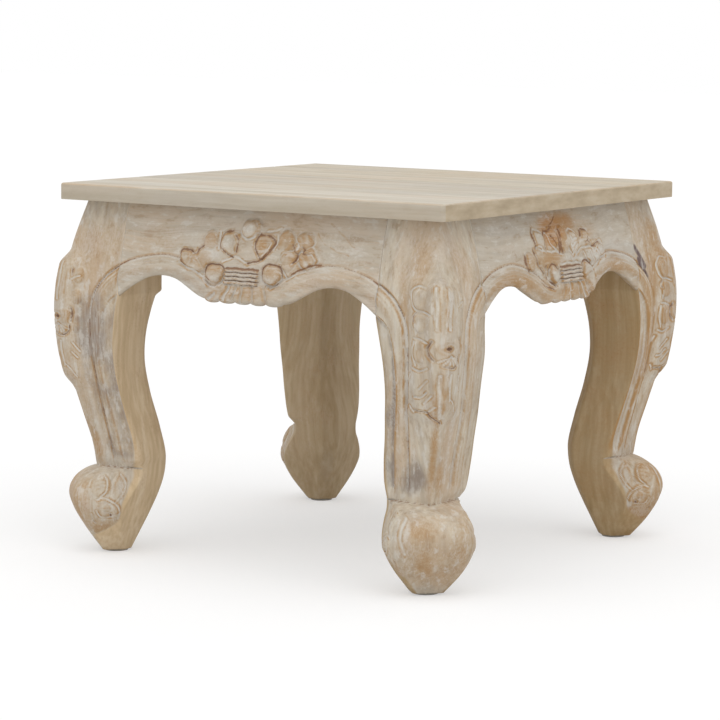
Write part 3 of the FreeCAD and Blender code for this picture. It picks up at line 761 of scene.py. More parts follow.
# %% Knee leaf
# Strokes on the leaf's left edge: finish, depth and points as (across, level)
lobe_strokes = (
    ("white", 1.6, ((-12, 326), (-19, 327), (-25, 321), (-25.5, 310), (-22, 303), (-15, 301.5), (-9, 299))),
    ("tan", 0.6, ((-20, 322), (-15, 324.5), (-10, 322))),
    ("brown", 1.1, ((-21, 301), (-24, 296), (-23, 291))),
    ("white", 0.8, ((-22, 289), (-22, 279))),
    ("white", 1.5, ((-24, 274), (-19, 273.5), (-12, 270))),
    ("white", 1.2, ((-24, 271), (-24.5, 258), (-22, 246))),
    ("tan", 0.5, ((-18, 270), (-20, 258), (-17, 247))),
    ("white", 2.2, ((-25, 243), (-18, 240.5), (-11, 244))),
    ("white", 1.0, ((-27, 236), (-31.6, 218), (-32.7, 203), (-29.5, 193))),
    ("white", 1.6, ((-10, 231), (-17.6, 221))),
    ("white", 1.7, ((-10, 219), (-15, 213.5), (-21, 213))),
    ("white", 1.6, ((-6, 216), (-12, 207))),
    ("white", 1.6, ((-3, 204), (-6, 200), (-10, 197))),
    ("white", 1.2, ((-25, 203), (-21, 197))),
    ("brown", 2.2, ((-20, 199), (-14, 198), (-9, 198), (-6, 193), (1, 186.5))),
)
centre_strokes = (
    ("white", 1.1, ((-3.5, 327), (-3.5, 284))),
    ("white", 1.1, ((3.5, 326), (3.5, 284))),
    ("tan", 0.5, ((-6.5, 325), (-6, 292))),
    ("tan", 0.6, ((0.5, 326), (0.5, 290))),
    ("tan", 0.4, ((9, 322), (9.5, 290))),
    ("white", 1.4, ((-1.4, 238), (-1.0, 212), (0.0, 190))),
    ("white", 1.4, ((5, 238), (4.5, 210))),
    ("tan", 0.6, ((-4.5, 236), (-4, 205))),
    ("tan", 0.6, ((1.6, 237), (1.6, 200))),
    ("white", 0.9, ((5, 212), (9, 207), (13, 198))),
    ("white", 0.8, ((16, 236), (21, 227))),
    ("white", 0.8, ((14, 226), (18, 220))),
    ("tan", 0.8, ((10, 217), (13, 216))),
    ("brown", 1.4, ((13.7, 318), (13.7, 311))),
    ("white", 1.4, ((14, 307), (17, 309.5), (21, 311))),
    ("tan", 0.6, ((14, 302), (19, 306))),
    ("tan", 0.9, ((23, 281), (23.5, 278))),
)
print("Strokes on the knee leaf:", len(lobe_strokes) + len(centre_strokes))


# %% Carve the knee
knee_patches = (("lime", (0, 276), 12, 9, 0.45), ("lime", (4, 236), 10, 10, 0.5),
                ("lime", (-25, 290), 7, 34, 0.45))


def knee_carving(face, across, up):
    inside = step(across, -31, -23) * (1 - step(across, 16, 29))
    ends = step(up, 180, 204) * (1 - step(up, 322, 340))
    face["relief"] = (4.2 + 4.6 * soft_line(across - 1, 13)) * inside * ends
    for level, length in ((313, 12.5), (289.5, 12), (260, 14.5)):
        bulge(face, across, up, (-17, level), 9, length, 8.0, scoop=0.35)
        lay_patches(face, across, up, [("tan", (-16, level), 6, length - 3, 0.45)])
        bulge(face, across, up, (17, level - 2), 8, length, 6.0, scoop=0.1)
    bulge(face, across, up, (-16, 208), 9, 12, 6.4, turn=20, scoop=0.2)
    lay_patches(face, across, up, knee_patches)
    cut_strokes(face, across, up, lobe_strokes, 0.85)
    cut_strokes(face, across, up, centre_strokes, 0.75)
    rosette(face, across, up)


def rosette(face, across, up):
    bulge(face, across, up, (3.5, 265), 15, 15, 9.6, scoop=0.12)
    bulge(face, across, up, (5, 252), 10, 10, 9.3, scoop=0.2)
    lay_patches(face, across, up, (("lime", (5, 254), 8, 7, 0.6), ("tan", (3, 265), 7, 7, 0.5)))
    for fan in range(-60, 61, 24):
        tip = (5 + 9 * math.sin(math.radians(fan)), 256 - 9 * math.cos(math.radians(fan)))
        cut_strokes(face, across, up, [("white", 0.8, ((5, 257), tip))], 0.7)
    cut_strokes(face, across, up, [("brown", 3.0, ((-8, 272), (-11, 265), (-9.5, 258), (-6, 253)))], 1.3)
    cut_strokes(face, across, up, [("brown", 2.6, ((15.5, 275), (16.7, 268), (16, 260)))], 1.1)
    cut_strokes(face, across, up, [("brown", 1.8, ((14.5, 256), (13, 249), (7, 244.5), (0, 247)))], 0.9)
    eye = np.hypot(across - 3.5, up - 265)
    face["relief"] = face["relief"] + valley(eye - 4.5, 0.7, 1.0) + valley(eye, 5.0, 1.6)
    cover(face, "dark", 1.6 * soft_line(eye, 1.8))


print("Patches on the knee:", len(knee_patches))

# %% Scroll on the foot
# Strokes on a flank: finish, depth and points as (distance along the diagonal, level)
scroll_strokes = (
    ("white", 0.96, ((325, 79), (320, 89), (311, 92), (305, 84), (307, 73), (314, 67))),
    ("white", 0.96, ((290, 91), (285, 82), (287, 73), (292, 66), (297, 61))),
    ("tan", 0.8, ((293, 93), (299, 85), (303, 76), (306, 67))),
    ("tan", 0.8, ((290, 90), (296, 82), (300, 74), (304, 66))),
    ("white", 1.04, ((317, 64), (310, 66), (301, 62), (294, 56), (293, 48), (301, 45), (313, 45), (318, 52))),
    ("tan", 0.64, ((314, 60), (305, 60), (298, 55), (299, 50), (308, 49), (314, 53))),
    ("white", 0.8, ((294, 42), (292, 49))),
    ("brown", 1.12, ((323, 48), (321, 41), (318, 37))),
    ("tan", 0.72, ((328, 74), (326, 62), (322, 52))),
    ("tan", 0.72, ((316, 101), (307, 99), (301, 96), (296, 92), (292, 93))),
)
rib_strokes = [("tan", 0.35, ((300, level), (309, level + 1.5), (318, level - 1)))
               for level in (88, 84, 80, 76, 58, 54, 50)]
scroll_patches = (("lime", (305, 58), 12, 13, 0.55), ("lime", (308, 82), 15, 10, 0.45),
                  ("lime", (288, 80), 8, 14, 0.5), ("tan", (303, 26), 30, 17, 0.75))
# The pillow-shaped front of the scroll is plain, with tan stains and a pale stripe
pillow_patches = (("tan", (2, 48), 60, 50, 0.55), ("tan", (-18, 72), 22, 20, 0.72),
                  ("tan", (-12, 38), 15, 24, 0.8, -15), ("tan", (28, 55), 12, 38, 0.68),
                  ("lime", (-32, 72), 4, 18, 0.8, 15), ("lime", (6, 66), 9, 22, 0.35),
                  ("lime", (1, 33), 3, 7, 0.7))


def scroll_end(face, out, up):
    # out is measured along the diagonal of the table, from its middle
    bulge(face, out, up, (313, 80), 13, 13, 1.8, turn=20, scoop=0.25)
    bulge(face, out, up, (291, 77), 8, 15, 1.6, turn=-15, scoop=0.2)
    bulge(face, out, up, (305, 55), 15, 13, 2.0, scoop=0.6)
    bulge(face, out, up, (306, 55), 6, 5, 2.2)
    cut_strokes(face, out, up, scroll_strokes, 0.8)
    cut_strokes(face, out, up, rib_strokes, 0.6)
    lay_patches(face, out, up, scroll_patches)
    bead = np.hypot(out - 302, up - 47)
    face["relief"] = face["relief"] + valley(bead, 3.0, 1.5)
    cover(face, "dark", 1.4 * soft_line(bead, 1.5))


def foot_front(face, across, up):
    lay_patches(face, across, up, pillow_patches)
    face["relief"] = face["relief"] + valley(np.hypot(across / 22, (up - 62) / 16), 0.7, 0.8)
    cut_strokes(face, across, up, [("white", 1.2, ((-30, 86), (-36, 76), (-38, 64), (-33, 50)))], 1.2)
    cut_strokes(face, across, up, [("tan", 1.0, ((34, 84), (38, 66), (34, 50)))], 1.4)


print("Strokes on a scroll:", len(scroll_strokes) + len(rib_strokes))


# %% Carve the leg
leg_patches = (("tan", (-2, 150), 5, 45, 0.9), ("tan", (8, 125), 7, 26, 0.7), ("tan", (-32, 300), 6, 50, 0.6),
               ("tan", (-36, 190), 4, 60, 0.6), ("lime", (-28, 240), 3, 80, 0.5),
               ("tan", (-15, 345), 12, 26, 0.5), ("lime", (-42, 200), 3, 90, 0.5))
lime_band = smooth_path(((38, 325), (32, 262), (19, 182), (14, 120)))


def add_face(whole, part, share=1.0):
    for layer, values in part.items():
        whole[layer] = whole[layer] + values * share


def leg_carving(x, y, level):
    facing = np.minimum(x, y)
    across = (y - x) / root2
    whole, knee, flank, front = (blank_face(x.shape) for face in range(4))
    add_face(whole, moulding(facing, level))
    add_face(whole, plain_strip(facing, level, across))
    knee_carving(knee, across + 0.3 * np.sin(0.2 * level), level)
    add_face(whole, knee, (np.abs(across) < 35) & (facing > 200) & (level > 175) & (level < 345))
    # The right-hand face was sanded warmer than the left
    warmth = step(across, -6, 14) * step(level, 100, 120) * (1 - step(level, 350, 385))
    cover(whole, "tan", 0.30 * warmth)
    lay_patches(whole, across, level, leg_patches)
    # A band of lime down the right face, and lime gathered in the joints with the aprons
    cover(whole, "lime", 0.6 * soft_line(line_distance(across, level, lime_band), 4))
    cover(whole, "lime", 0.8 * (np.abs(facing - apron_end) < 1.6) * (level > block_bottom))
    scroll_end(flank, (x + y) / root2, level)
    foot_front(front, across, level)
    on_end = step(np.abs(across) - foot_width(level) / 2, -5.0, -2.0) * (1 - step(level, 93, 98))
    foot = (1 - step(level, 90, 97)) * step(level, 6, 16)
    add_face(whole, flank, on_end * foot)
    add_face(whole, front, (1 - on_end) * foot)
    # Painted shade in the crease at the neck of the foot, darker in places
    cover(whole, "dark", soft_line(level - 97.5, 1.6) * (0.3 + 0.5 * np.sin(across * 0.5) ** 2))
    return whole


# Only the outer faces and the scroll's ends are carved
outer_side = np.zeros(half_angles.shape)
outer_side[:, :half_columns[0] + 1] = 1.0
outer_side = outer_side[:, half_index]
leg_face = leg_carving(leg_x, leg_y, leg_height)
leg_face = {layer: values * outer_side for layer, values in leg_face.items()}
leg_relief = leg_face.pop("relief")
print("Leg relief from", round(leg_relief.min(), 1), "to", round(leg_relief.max(), 1), "mm")

# %% Finish values on the leg
leg_across = (leg_y - leg_x) / root2
leg_out = (leg_x + leg_y) / root2
leg_facing = np.minimum(leg_x, leg_y)
left_face = (leg_across < 0) * outer_side
leg_grid = dict(leg_face, hollow=hollows(leg_relief))
# Behind the scroll and under it, the flank of the foot was left as the saw cut it
bare_from = smooth_curve(((20, 325), (30, 305), (37, 296), (44, 292), (58, 290), (69, 285), (79, 280),
                          (87, 276), (97, 276)))
at_flank = step(np.abs(leg_across) - foot_width(leg_height) / 2, -6.0, -3.0) * (leg_height < ankle)
bare_flank = at_flank * step(bare_from(leg_height) - leg_out, -2, 2)
leg_grid["bare"] = np.maximum(1 - outer_side, bare_flank)
for layer in ("lime", "tan", "dark"):
    leg_grid[layer] = leg_grid[layer] * (1 - bare_flank)
# Grey iron stain low on the front of the shank, and a fainter one along its left-hand strip
stain = oval_reach(leg_across, leg_height, (-15, 130), 12, 34, 6, 2.0)
strip = oval_reach(leg_across, leg_height, (-44, 165), 7, 75, 0, 2.0)
strip_edge = line_distance(leg_facing, leg_height, [(roll_side(z) - 3, z) for z in range(294, 108, -12)])
grey_edge = 0.55 * soft_line(strip_edge, 3.5) * (leg_across < 0) * (leg_height < block_bottom)
leg_grid["iron"] = (0.95 * soft_line(stain, 1) + 0.45 * np.exp(-strip ** 3) + grey_edge) * outer_side
# Rusted nails by the joint left two dark strokes on the back right leg's left-hand face
rust = 0
for mark in (((170, 341), (179, 331), (189, 318)), ((176, 327), (184, 317), (192, 306))):
    rust = np.maximum(rust, 2.0 * soft_line(line_distance(leg_facing, leg_height, mark), 3.2) * left_face)
face_middle = step(leg_height, 99, 115) * (1 - step(leg_height, 270, 330)) * outer_side
print("Finish values:", *leg_grid)


# %% Place the four legs
def turned(x, y, z, quarters):
    # The places turned by quarter turns about the table's middle
    turn = quarters * math.pi / 2
    turned_x = x * math.cos(turn) - y * math.sin(turn)
    turned_y = x * math.sin(turn) + y * math.cos(turn)
    return np.stack((turned_x, turned_y, z), axis=1)


def finished_piece(name, mesh, places, node, material, values):
    # places is in mm; values are the per-point numbers that steer the finish
    mesh = mesh.copy()
    mesh.name = name
    mesh.vertices.foreach_set("co", (places * MM).ravel())
    for value_name, numbers in values.items():
        attribute = mesh.attributes.new(value_name, "FLOAT", "POINT")
        attribute.data.foreach_set("value", numbers.astype(np.float32))
    mesh.materials.clear()
    mesh.materials.append(material)
    mesh.update()
    bm = bmesh.new()
    bm.from_mesh(mesh)
    bmesh.ops.recalc_face_normals(bm, faces=bm.faces)
    bm.to_mesh(mesh)
    bm.free()
    mesh.shade_smooth()
    piece = placed(name, mesh)
    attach(piece, "root")
    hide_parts(node)
    return piece


carved_x = leg_x + leg_relief * normal_x
carved_y = leg_y + leg_relief * normal_y
flat_x, flat_y, flat_z = (grid[leg_ring, leg_column] for grid in (carved_x, carved_y, leg_height))
leg_values = {name: grid[leg_ring, leg_column] for name, grid in leg_grid.items()}
# Each leg's corner, how much more of its wash is rubbed off, how bare its sawn faces are, and
# how grey its right-hand face is (its left-hand face where the number is negative)
corners = (("front_left", 0.12, 1.0, 0.62), ("front_right", 0.0, 1.0, -0.15),
           ("back_right", 0.38, 1.0, -0.15), ("back_left", 0.20, 0.8, 0.2))
for index, (corner, rubbed_off, bareness, greyness) in enumerate(corners):
    side_grey = abs(greyness) * step(math.copysign(1, greyness) * leg_across, 10, 26) * face_middle
    values = dict(leg_values, tan=leg_values["tan"] + rubbed_off, bare=leg_values["bare"] * bareness,
                  iron=leg_values["iron"] + side_grey[leg_ring, leg_column],
                  lime=leg_values["lime"] - 0.4 * rubbed_off)
    if corner == "back_right":
        values["iron"] = 0.4 * values["iron"] + rust[leg_ring, leg_column]
    material = pale_leg_wood if corner == "front_left" else leg_wood
    leg = finished_piece(f"carved_leg_{corner}", leg_mesh, turned(flat_x, flat_y, flat_z, index - 2),
                         f"leg_{corner}", material, values)
print("Legs placed, each with", sum(len(face.vertices) - 2 for face in leg.data.polygons), "triangles")

# %% [markdown]
# ## Apron mesh
# An apron is a tube laid along the side of the table. Its ring is the board's section: face,
# lip, bevelled underside, back and top. The rings are closest in the middle, under the crest.

# %% Apron tube
apron_rings = 290
# Points round the section: (how many, end of which side)
front_count, under_count, back_count, top_count = 116, 14, 14, 8
apron_columns = front_count + under_count + back_count + top_count
apron_mesh, apron_ring, apron_column = tube(apron_columns, apron_rings)
# Rings are about 1 mm apart over the crest and 1.6 mm apart beyond it
ring_share = np.linspace(-1, 1, apron_rings + 1)
ring_along = np.sign(ring_share) * np.interp(np.abs(ring_share), (0, 0.7, 1), (0, 98, apron_end))
apron_along = np.repeat(ring_along[:, None], apron_columns, axis=1)
section_column = np.repeat(np.arange(apron_columns)[None, :], apron_rings + 1, axis=0)
print("Apron tube:", len(apron_mesh.vertices), "points")

# %% [markdown]
# ## The crest
# Flowers and leaves spread over a ribbed band held between two beads, and flutes run down from
# the band to the scalloped edge. The front and the right side were carved by hand from the
# same drawing and differ, so each has its own lists, in millimetres on the face.

# %% Front crest
# Each leaf: middle, half width, half length, height, turn in degrees, scoop, ribs
front_leaves = (
    ((-79, 339), 9, 9, 4.2, 0, 0.3, 0),
    ((-60, 336), 20, 12, 4.4, -24, 0.2, 0),
    ((-49, 358), 11, 12, 4.4, 0, 0.25, 0),
    ((0, 351), 30, 17, 4.0, 0, 0.0, 0),
    ((-24, 357), 14, 14, 5.4, 0, 0.5, 0),
    ((-14, 357), 5, 11, 5.4, 0, 0.0, 0),
    ((1, 373), 13, 11, 5.8, 0, 0.15, 0),
    ((21, 356), 13, 15, 6.0, 22, 0.85, 0),
    ((48, 362), 12, 13, 5.2, 20, 0.45, 2),
    ((72, 364), 12, 10, 5.2, -20, 0.3, 3),
    ((78, 346), 12, 12, 5.4, -40, 0.3, 3),
    ((53, 343), 14, 10, 5.6, 60, 0.25, 2),
    ((65, 355), 5, 5, 5.8, 0, 0.3, 0),
)
# Each tool stroke: finish, depth and the points that it passes through
front_strokes = (
    ("tan", 1.3, ((-57, 353), (-58.6, 361.6), (-55.4, 365.5), (-50, 367), (-44.9, 366), (-41.3, 361.5),
                  (-40, 354))),
    ("white", 1.6, ((-38.5, 369), (-38.5, 360), (-36.8, 351))),
    ("brown", 1.6, ((-22, 370), (-31.7, 367), (-36.5, 360), (-34, 353), (-27, 346.5), (-18, 343))),
    ("brown", 1.4, ((-18, 367), (-12.5, 361), (-11.5, 354), (-13, 348))),
    ("tan", 1.0, ((-20.5, 366), (-20.7, 357), (-16.6, 350))),
    ("tan", 1.3, ((-11, 368), (-10, 376.5), (-4, 382), (4, 382), (9.5, 376), (12.5, 368))),
    ("tan", 0.7, ((-5, 370), (-4.2, 376), (0, 379))),
    ("white", 1.3, ((-11, 369), (-7.9, 364.5), (-1, 362.5), (6.3, 364.5), (11, 369))),
    ("brown", 2.2, ((13, 367), (10, 361), (10.5, 355), (13.5, 349.5), (18.2, 342))),
    ("brown", 1.9, ((14, 368), (24.5, 367.5), (31, 364.5), (34, 361), (32.5, 355), (27, 347.5), (19, 342.5))),
    ("white", 1.0, ((30, 359), (27, 352), (19.5, 346))),
    ("white", 1.4, ((36.5, 369), (36.2, 360), (34, 353))),
    ("white", 1.3, ((22, 371), (30, 372), (38, 376))),
    ("tan", 1.4, ((39, 358), (39.5, 368), (45, 373), (52.5, 375), (58.5, 369), (59, 360))),
    ("tan", 1.6, ((40, 339), (46, 348), (53, 352.5), (59, 354))),
    ("brown", 1.7, ((57, 360), (60, 356), (65, 350), (64, 346), (61, 341))),
    ("white", 1.7, ((60, 340), (64.5, 344), (67.5, 351), (72, 353))),
    ("brown", 1.9, ((70, 358), (74, 356), (73, 352), (79, 351))),
    ("white", 1.3, ((62, 363), (66, 357), (63, 353))),
    ("white", 1.2, ((79, 350), (84, 350), (87, 345))),
    ("tan", 1.5, ((66, 340), (70, 337), (78, 335.5), (86, 341), (88, 351), (84, 358))),
    ("tan", 1.3, ((61, 363), (66, 371), (76, 373), (83, 366), (83, 357))),
    ("brown", 1.8, ((-80, 331), (-86, 337), (-88, 344.5), (-82, 347.5), (-74, 347), (-68.5, 343), (-65, 345),
                    (-62.5, 349), (-57, 353))),
    ("white", 1.8, ((-88, 333), (-71, 327), (-60, 323), (-52, 319), (-46, 312))),
    ("white", 1.1, ((-30, 337), (-19, 342.5), (-12.9, 343), (-3, 339.5), (6.3, 337))),
    ("brown", 1.1, ((3, 337), (13.7, 339.5), (20.5, 344), (26, 349))),
    ("tan", 0.9, ((-74, 343), (-72, 337), (-74, 331))),
    ("tan", 0.8, ((-66, 341), (-58, 334), (-54, 328))),
    ("white", 2.0, ((45, 336), (50, 330), (54, 325))),
    ("white", 2.2, ((36, 313.5), (48.7, 321.7), (59.5, 326.5), (74.9, 333.7), (88, 337.5))),
    ("brown", 1.0, ((60, 329), (75, 336), (88, 340), (95, 341))),
    ("tan", 0.5, ((100, 383), (118, 372), (130, 362), (143, 358))),
    ("tan", 0.5, ((86, 372), (96, 362), (108, 357), (128, 352))),
)
# Each patch of colour: layer, middle, half width, half height, share
front_patches = (
    ("tan", (68, 353), 24, 20, 0.9), ("tan", (-62, 338), 25, 12, 0.6), ("tan", (20, 357), 8, 11, 1.0),
    ("tan", (47, 364), 13, 11, 0.75), ("tan", (35, 329), 11, 7, 0.6), ("tan", (-40, 329), 12, 7, 0.6),
    ("tan", (0, 306), 38, 9, 0.6), ("tan", (-50, 359), 11, 10, 0.6), ("tan", (0, 352), 34, 16, 0.35),
    ("lime", (0, 374), 9, 8, 0.75), ("lime", (-26, 358), 6, 9, 0.6), ("lime", (4, 349), 14, 8, 0.5),
    ("lime", (65, 356), 5, 4, 1.0), ("lime", (-44, 344), 12, 7, 0.7), ("lime", (-38, 319), 9, 6, 0.7),
    ("lime", (77, 341), 6, 4, 0.7), ("lime", (58, 337), 7, 4, 0.6), ("lime", (36, 321), 9, 4, 0.5),
    ("tan", (-115, 352), 40, 26, 0.3), ("lime", (112, 352), 46, 34, 0.4),
)
front_beads = (((-39, 323), 12.5, 10.5, 0), ((35, 326.5), 12.0, 10.5, 0))
front_band = (-25.0, 19.0, 314.0, 331.0)
front_flutes = (("white", ((-17.5, 313), (-24, 298))), ("white", ((-36, 303), (-44, 297))),
                ("tan", ((-1, 312), (-2, 296))), ("tan", ((11, 316), (13, 303), (14, 296))),
                ("tan", ((26, 313), (32, 298))), ("tan", ((-9, 312), (-13, 296))))
print("Front crest has", len(front_leaves), "leaves and", len(front_strokes), "strokes")

# %% Right crest
right_leaves = (
    ((-67, 340), 10, 11, 4.4, -10, 0.3, 0),
    ((-42, 361), 12, 12, 4.4, 0, 0.3, 0),
    ((14, 338), 32, 10, 3.8, 0, 0.0, 0),
    ((70, 341), 30, 10.5, 4.6, -6, 0.15, 4),
    ((-28, 340), 32, 12, 4.8, 12, 0.05, 0),
    ((-14, 362), 14, 12, 5.8, 40, 0.8, 0),
    ((8, 358), 11.5, 17, 5.8, 6, 0.1, 0),
    ((29, 356), 13, 14, 5.8, 0, 0.4, 3),
    ((56, 361), 10, 8, 5.0, 0, 0.2, 0),
    ((74, 352), 12, 6, 5.2, 0, 0.3, 0),
)
right_strokes = (
    ("brown", 1.6, ((-50, 375), (-52.5, 367), (-52, 360), (-49.7, 353))),
    ("white", 0.9, ((-47, 373), (-37, 371.5), (-28, 367))),
    ("white", 1.1, ((-49.7, 354.5), (-41, 355), (-34.8, 350))),
    ("brown", 2.6, ((-25, 371), (-30.4, 362.5), (-30, 352))),
    ("white", 1.5, ((-25, 369), (-22, 360), (-14, 352.5), (-2.9, 347))),
    ("brown", 2.0, ((-26, 370), (-15, 373), (-6, 378), (3, 384))),
    ("brown", 1.8, ((-8, 374), (-2.6, 365), (-1.6, 356), (-1.5, 346))),
    ("brown", 1.5, ((-17, 366), (-11, 361), (-7, 353))),
    ("white", 1.6, ((17.5, 372), (15.5, 361), (16.5, 352), (23, 342))),
    ("brown", 1.2, ((3, 371), (0.5, 361), (0.5, 352), (2.5, 345))),
    ("white", 1.8, ((23, 368), (31.7, 369), (40, 364), (41.5, 357), (31, 348), (24.5, 342.5))),
    ("white", 1.4, ((24, 362), (28, 358), (36, 360))),
    ("white", 1.3, ((23, 354), (27, 351), (33, 354))),
    ("brown", 1.0, ((47, 360), (49, 366), (56, 368.5), (64, 365), (64, 360), (58, 354.5))),
    ("brown", 1.6, ((61.4, 359), (65.6, 352), (68.7, 348.5), (79, 352.5), (88, 352))),
    ("white", 1.6, ((30.7, 342.5), (43, 347), (57, 349), (67.7, 347), (71.4, 343.5), (80, 349.5), (93.2, 354),
                    (97, 346), (98, 337))),
    ("brown", 1.9, ((-75, 349), (-76, 340), (-71, 330))),
    ("brown", 2.0, ((-56, 353), (-54.5, 344), (-50.5, 335), (-42, 325))),
    ("white", 1.5, ((-51, 354), (-39, 351), (-27, 348.5), (-12, 348), (0.4, 344.5))),
    ("brown", 3.0, ((-38, 335), (-38, 325), (-31, 317), (-22, 312.5))),
    ("white", 1.2, ((-8, 334), (14, 334.5), (38, 333))),
    ("white", 1.0, ((48, 344), (52, 337), (58, 333))),
    ("white", 1.0, ((62, 345), (66, 338), (70, 334))),
    ("white", 1.0, ((76, 346), (81, 341), (84, 337))),
    ("brown", 1.6, ((-48, 317), (-38, 312), (-28, 308))),
    ("white", 2.2, ((62, 322), (69, 327), (78, 331.5), (89.4, 336), (100, 339))),
)
right_patches = (
    ("tan", (-66, 340), 10, 12, 0.6), ("tan", (-28, 340), 30, 11, 0.9), ("tan", (-14, 363), 15, 13, 1.3),
    ("tan", (8, 360), 9, 16, 0.8), ("tan", (6, 378), 46, 12, 1.0), ("tan", (58, 364), 26, 12, 0.5),
    ("tan", (10, 303), 34, 6, 0.45), ("tan", (-100, 352), 30, 18, 0.3), ("tan", (120, 322), 24, 10, 0.5),
    ("lime", (30, 355), 12, 11, 0.8), ("lime", (72, 342), 26, 9, 0.7), ("lime", (14, 340), 22, 5, 0.6),
    ("lime", (-42, 360), 9, 8, 0.4), ("lime", (-100, 352), 38, 12, 0.45), ("lime", (38, 306), 18, 9, 0.5),
    ("tan", (-100, 318), 46, 13, 0.6),
)
right_beads = (((-23, 324), 8.5, 10.5, -20), ((53, 316), 11.5, 18.0, -14))
right_band = (-10.0, 37.0, 314.0, 331.0)
right_flutes = (("tan", ((-3, 312), (-9, 297))), ("white", ((8, 312), (7, 297))),
                ("tan", ((24, 312), (28, 297))), ("white", ((31, 314), (36, 304), (41, 296))),
                ("white", ((43.5, 309), (55, 297))))
print("Right crest has", len(right_leaves), "leaves and", len(right_strokes), "strokes")


# %% Carve a crest
def bead(face, along, level, middle, half_width, half_length, turn):
    # A smooth oval with a cut round it, darker above and limed below
    bulge(face, along, level, middle, half_width, half_length, 7.0, turn)
    below = (middle[0], middle[1] - 4)
    lay_patches(face, along, level, [("lime", below, half_width * 0.8, half_length * 0.5, 0.6)])
    rim = (oval_reach(along, level, middle, half_width + 0.8, half_length + 0.8, turn) - 1) * half_width
    upper = step(level - middle[1], -6, 6)
    face["relief"] = face["relief"] + valley(rim, 1.8, 1.1)
    cover(face, "tan", 0.9 * soft_line(rim + 1.2, 1.3))
    cover(face, "dark", (0.3 + 0.7 * upper) * soft_line(rim, 0.9))
    cover(face, "lime", (1 - upper) * soft_line(rim - 1.5, 1.2))


cord_count = 4


def crest_carving(along, level, crest):
    leaves, strokes, patches, beads, band, flutes = crest
    left, right_end, low, high = band
    middle = (left + right_end) / 2
    face = moulding(along, level)
    # The ground of the crest and the shell below it stand proud, and the moulding stops there
    raised = (1 - step(np.abs(along - middle), 58, 88)) * (1 - step(level, 352, 380)) * step(level, 316, 330)
    shell = (1 - step(np.abs(along - middle), 36, 56)) * (1 - step(level, 311, 318))
    for layer in face:
        face[layer] = face[layer] * (1 - raised) * (1 - shell)
    face["relief"] = face["relief"] + 2.4 * raised + 4.2 * shell
    waved_along, waved_level = hand_waver(along, level)
    for leaf in leaves:
        bulge(face, waved_along, waved_level, *leaf)
    cut_strokes(face, waved_along, waved_level, [(finish, 3.0, line) for finish, line in flutes], 1.8)
    cut_strokes(face, waved_along, waved_level, strokes)
    lay_patches(face, waved_along, waved_level, patches)
    for one in beads:
        bead(face, waved_along, waved_level, *one)
    # The band, bound with cords, has straighter edges than the leaves
    band_along, band_level = (waved_along + along) / 2, (waved_level + level) / 2
    beside = step(band_along, left - 1, left + 1) * (1 - step(band_along, right_end - 1, right_end + 1))
    inside = beside * step(band_level, low - 1, low + 1) * (1 - step(band_level, high - 1, high + 1))
    cords = np.abs(np.sin(math.pi * (band_level - low) / (high - low) * cord_count)) ** 0.6
    face["relief"] = face["relief"] * (1 - inside) + (1.2 + 4.4 * cords) * inside
    face["lime"] = face["lime"] * (1 - inside) + 1.1 * cords ** 2 * inside
    face["dark"] = face["dark"] * (1 - inside) + 1.2 * (1 - cords) ** 1.4 * inside
    cover(face, "dark", soft_line(band_level - high, 1.2) * beside)
    # Lime gathers in the joints with the legs
    cover(face, "lime", 0.8 * (np.abs(along) > apron_end - 1.2))
    return face


front_crest = (front_leaves, front_strokes, front_patches, front_beads, front_band, front_flutes)
right_crest = (right_leaves, right_strokes, right_patches, right_beads, right_band, right_flutes)
print("Beads on the crests:", len(front_beads), "and", len(right_beads))

# %% Apron section
lip = 4.5
apron_thickness = 24.0
# The bevel behind the lip ends at this level, or this far above the edge where that is higher
bevel_top = 330.0
bevel_rise = 26.0


def apron_places(crest):
    low = lower_edge(apron_along)
    inside = frame_half - apron_thickness
    front = section_column < front_count
    under = (section_column >= front_count) & (section_column < front_count + under_count)
    behind = (section_column >= front_count + under_count) & (section_column < apron_columns - top_count)
    above = section_column >= apron_columns - top_count
    face_level = frame_top + (low - frame_top) * np.clip(section_column / front_count, 0, 1) ** 0.9
    under_share = np.clip((section_column - front_count) / under_count, 0, 1)
    back_share = (section_column - front_count - under_count) / back_count
    top_share = (section_column - apron_columns + top_count) / top_count
    bevel_level = np.maximum(bevel_top, low + bevel_rise)
    level = np.where(front, face_level, low + (bevel_level - low) * under_share ** 1.2)
    level = np.where(behind, bevel_level + (frame_top - bevel_level) * back_share, level)
    level = np.where(above, frame_top, level)
    carved = crest_carving(apron_along, level, crest)
    relief = carved.pop("relief")
    # The lip rolls under over a few millimetres
    near_lip = np.clip((lip - (level - low)) / lip, 0, 1)
    face = outer_distance(level) + relief - lip * (1 - np.sqrt(1 - near_lip ** 2 * 0.98))
    lip_face = outer_distance(low) + crest_carving(apron_along, low, crest)["relief"] - lip * 0.86
    out = np.where(front, face, lip_face + (inside - lip_face) * under_share)
    out = np.where(behind, inside, out)
    out = np.where(above, inside + (frame_half - inside) * top_share, out)
    values = {layer: numbers * front for layer, numbers in carved.items()}
    # The darks in the crest's cuts and hollows are made deeper still, as painted shade
    values["dark"] = 1.3 * values["dark"]
    values["hollow"] = hollows(relief) * front
    values["bare"] = (behind | above) * 1.0 + under * 0.5
    return -out, level, values


print("Apron is", apron_thickness, "mm thick with a lip of", lip, "mm")


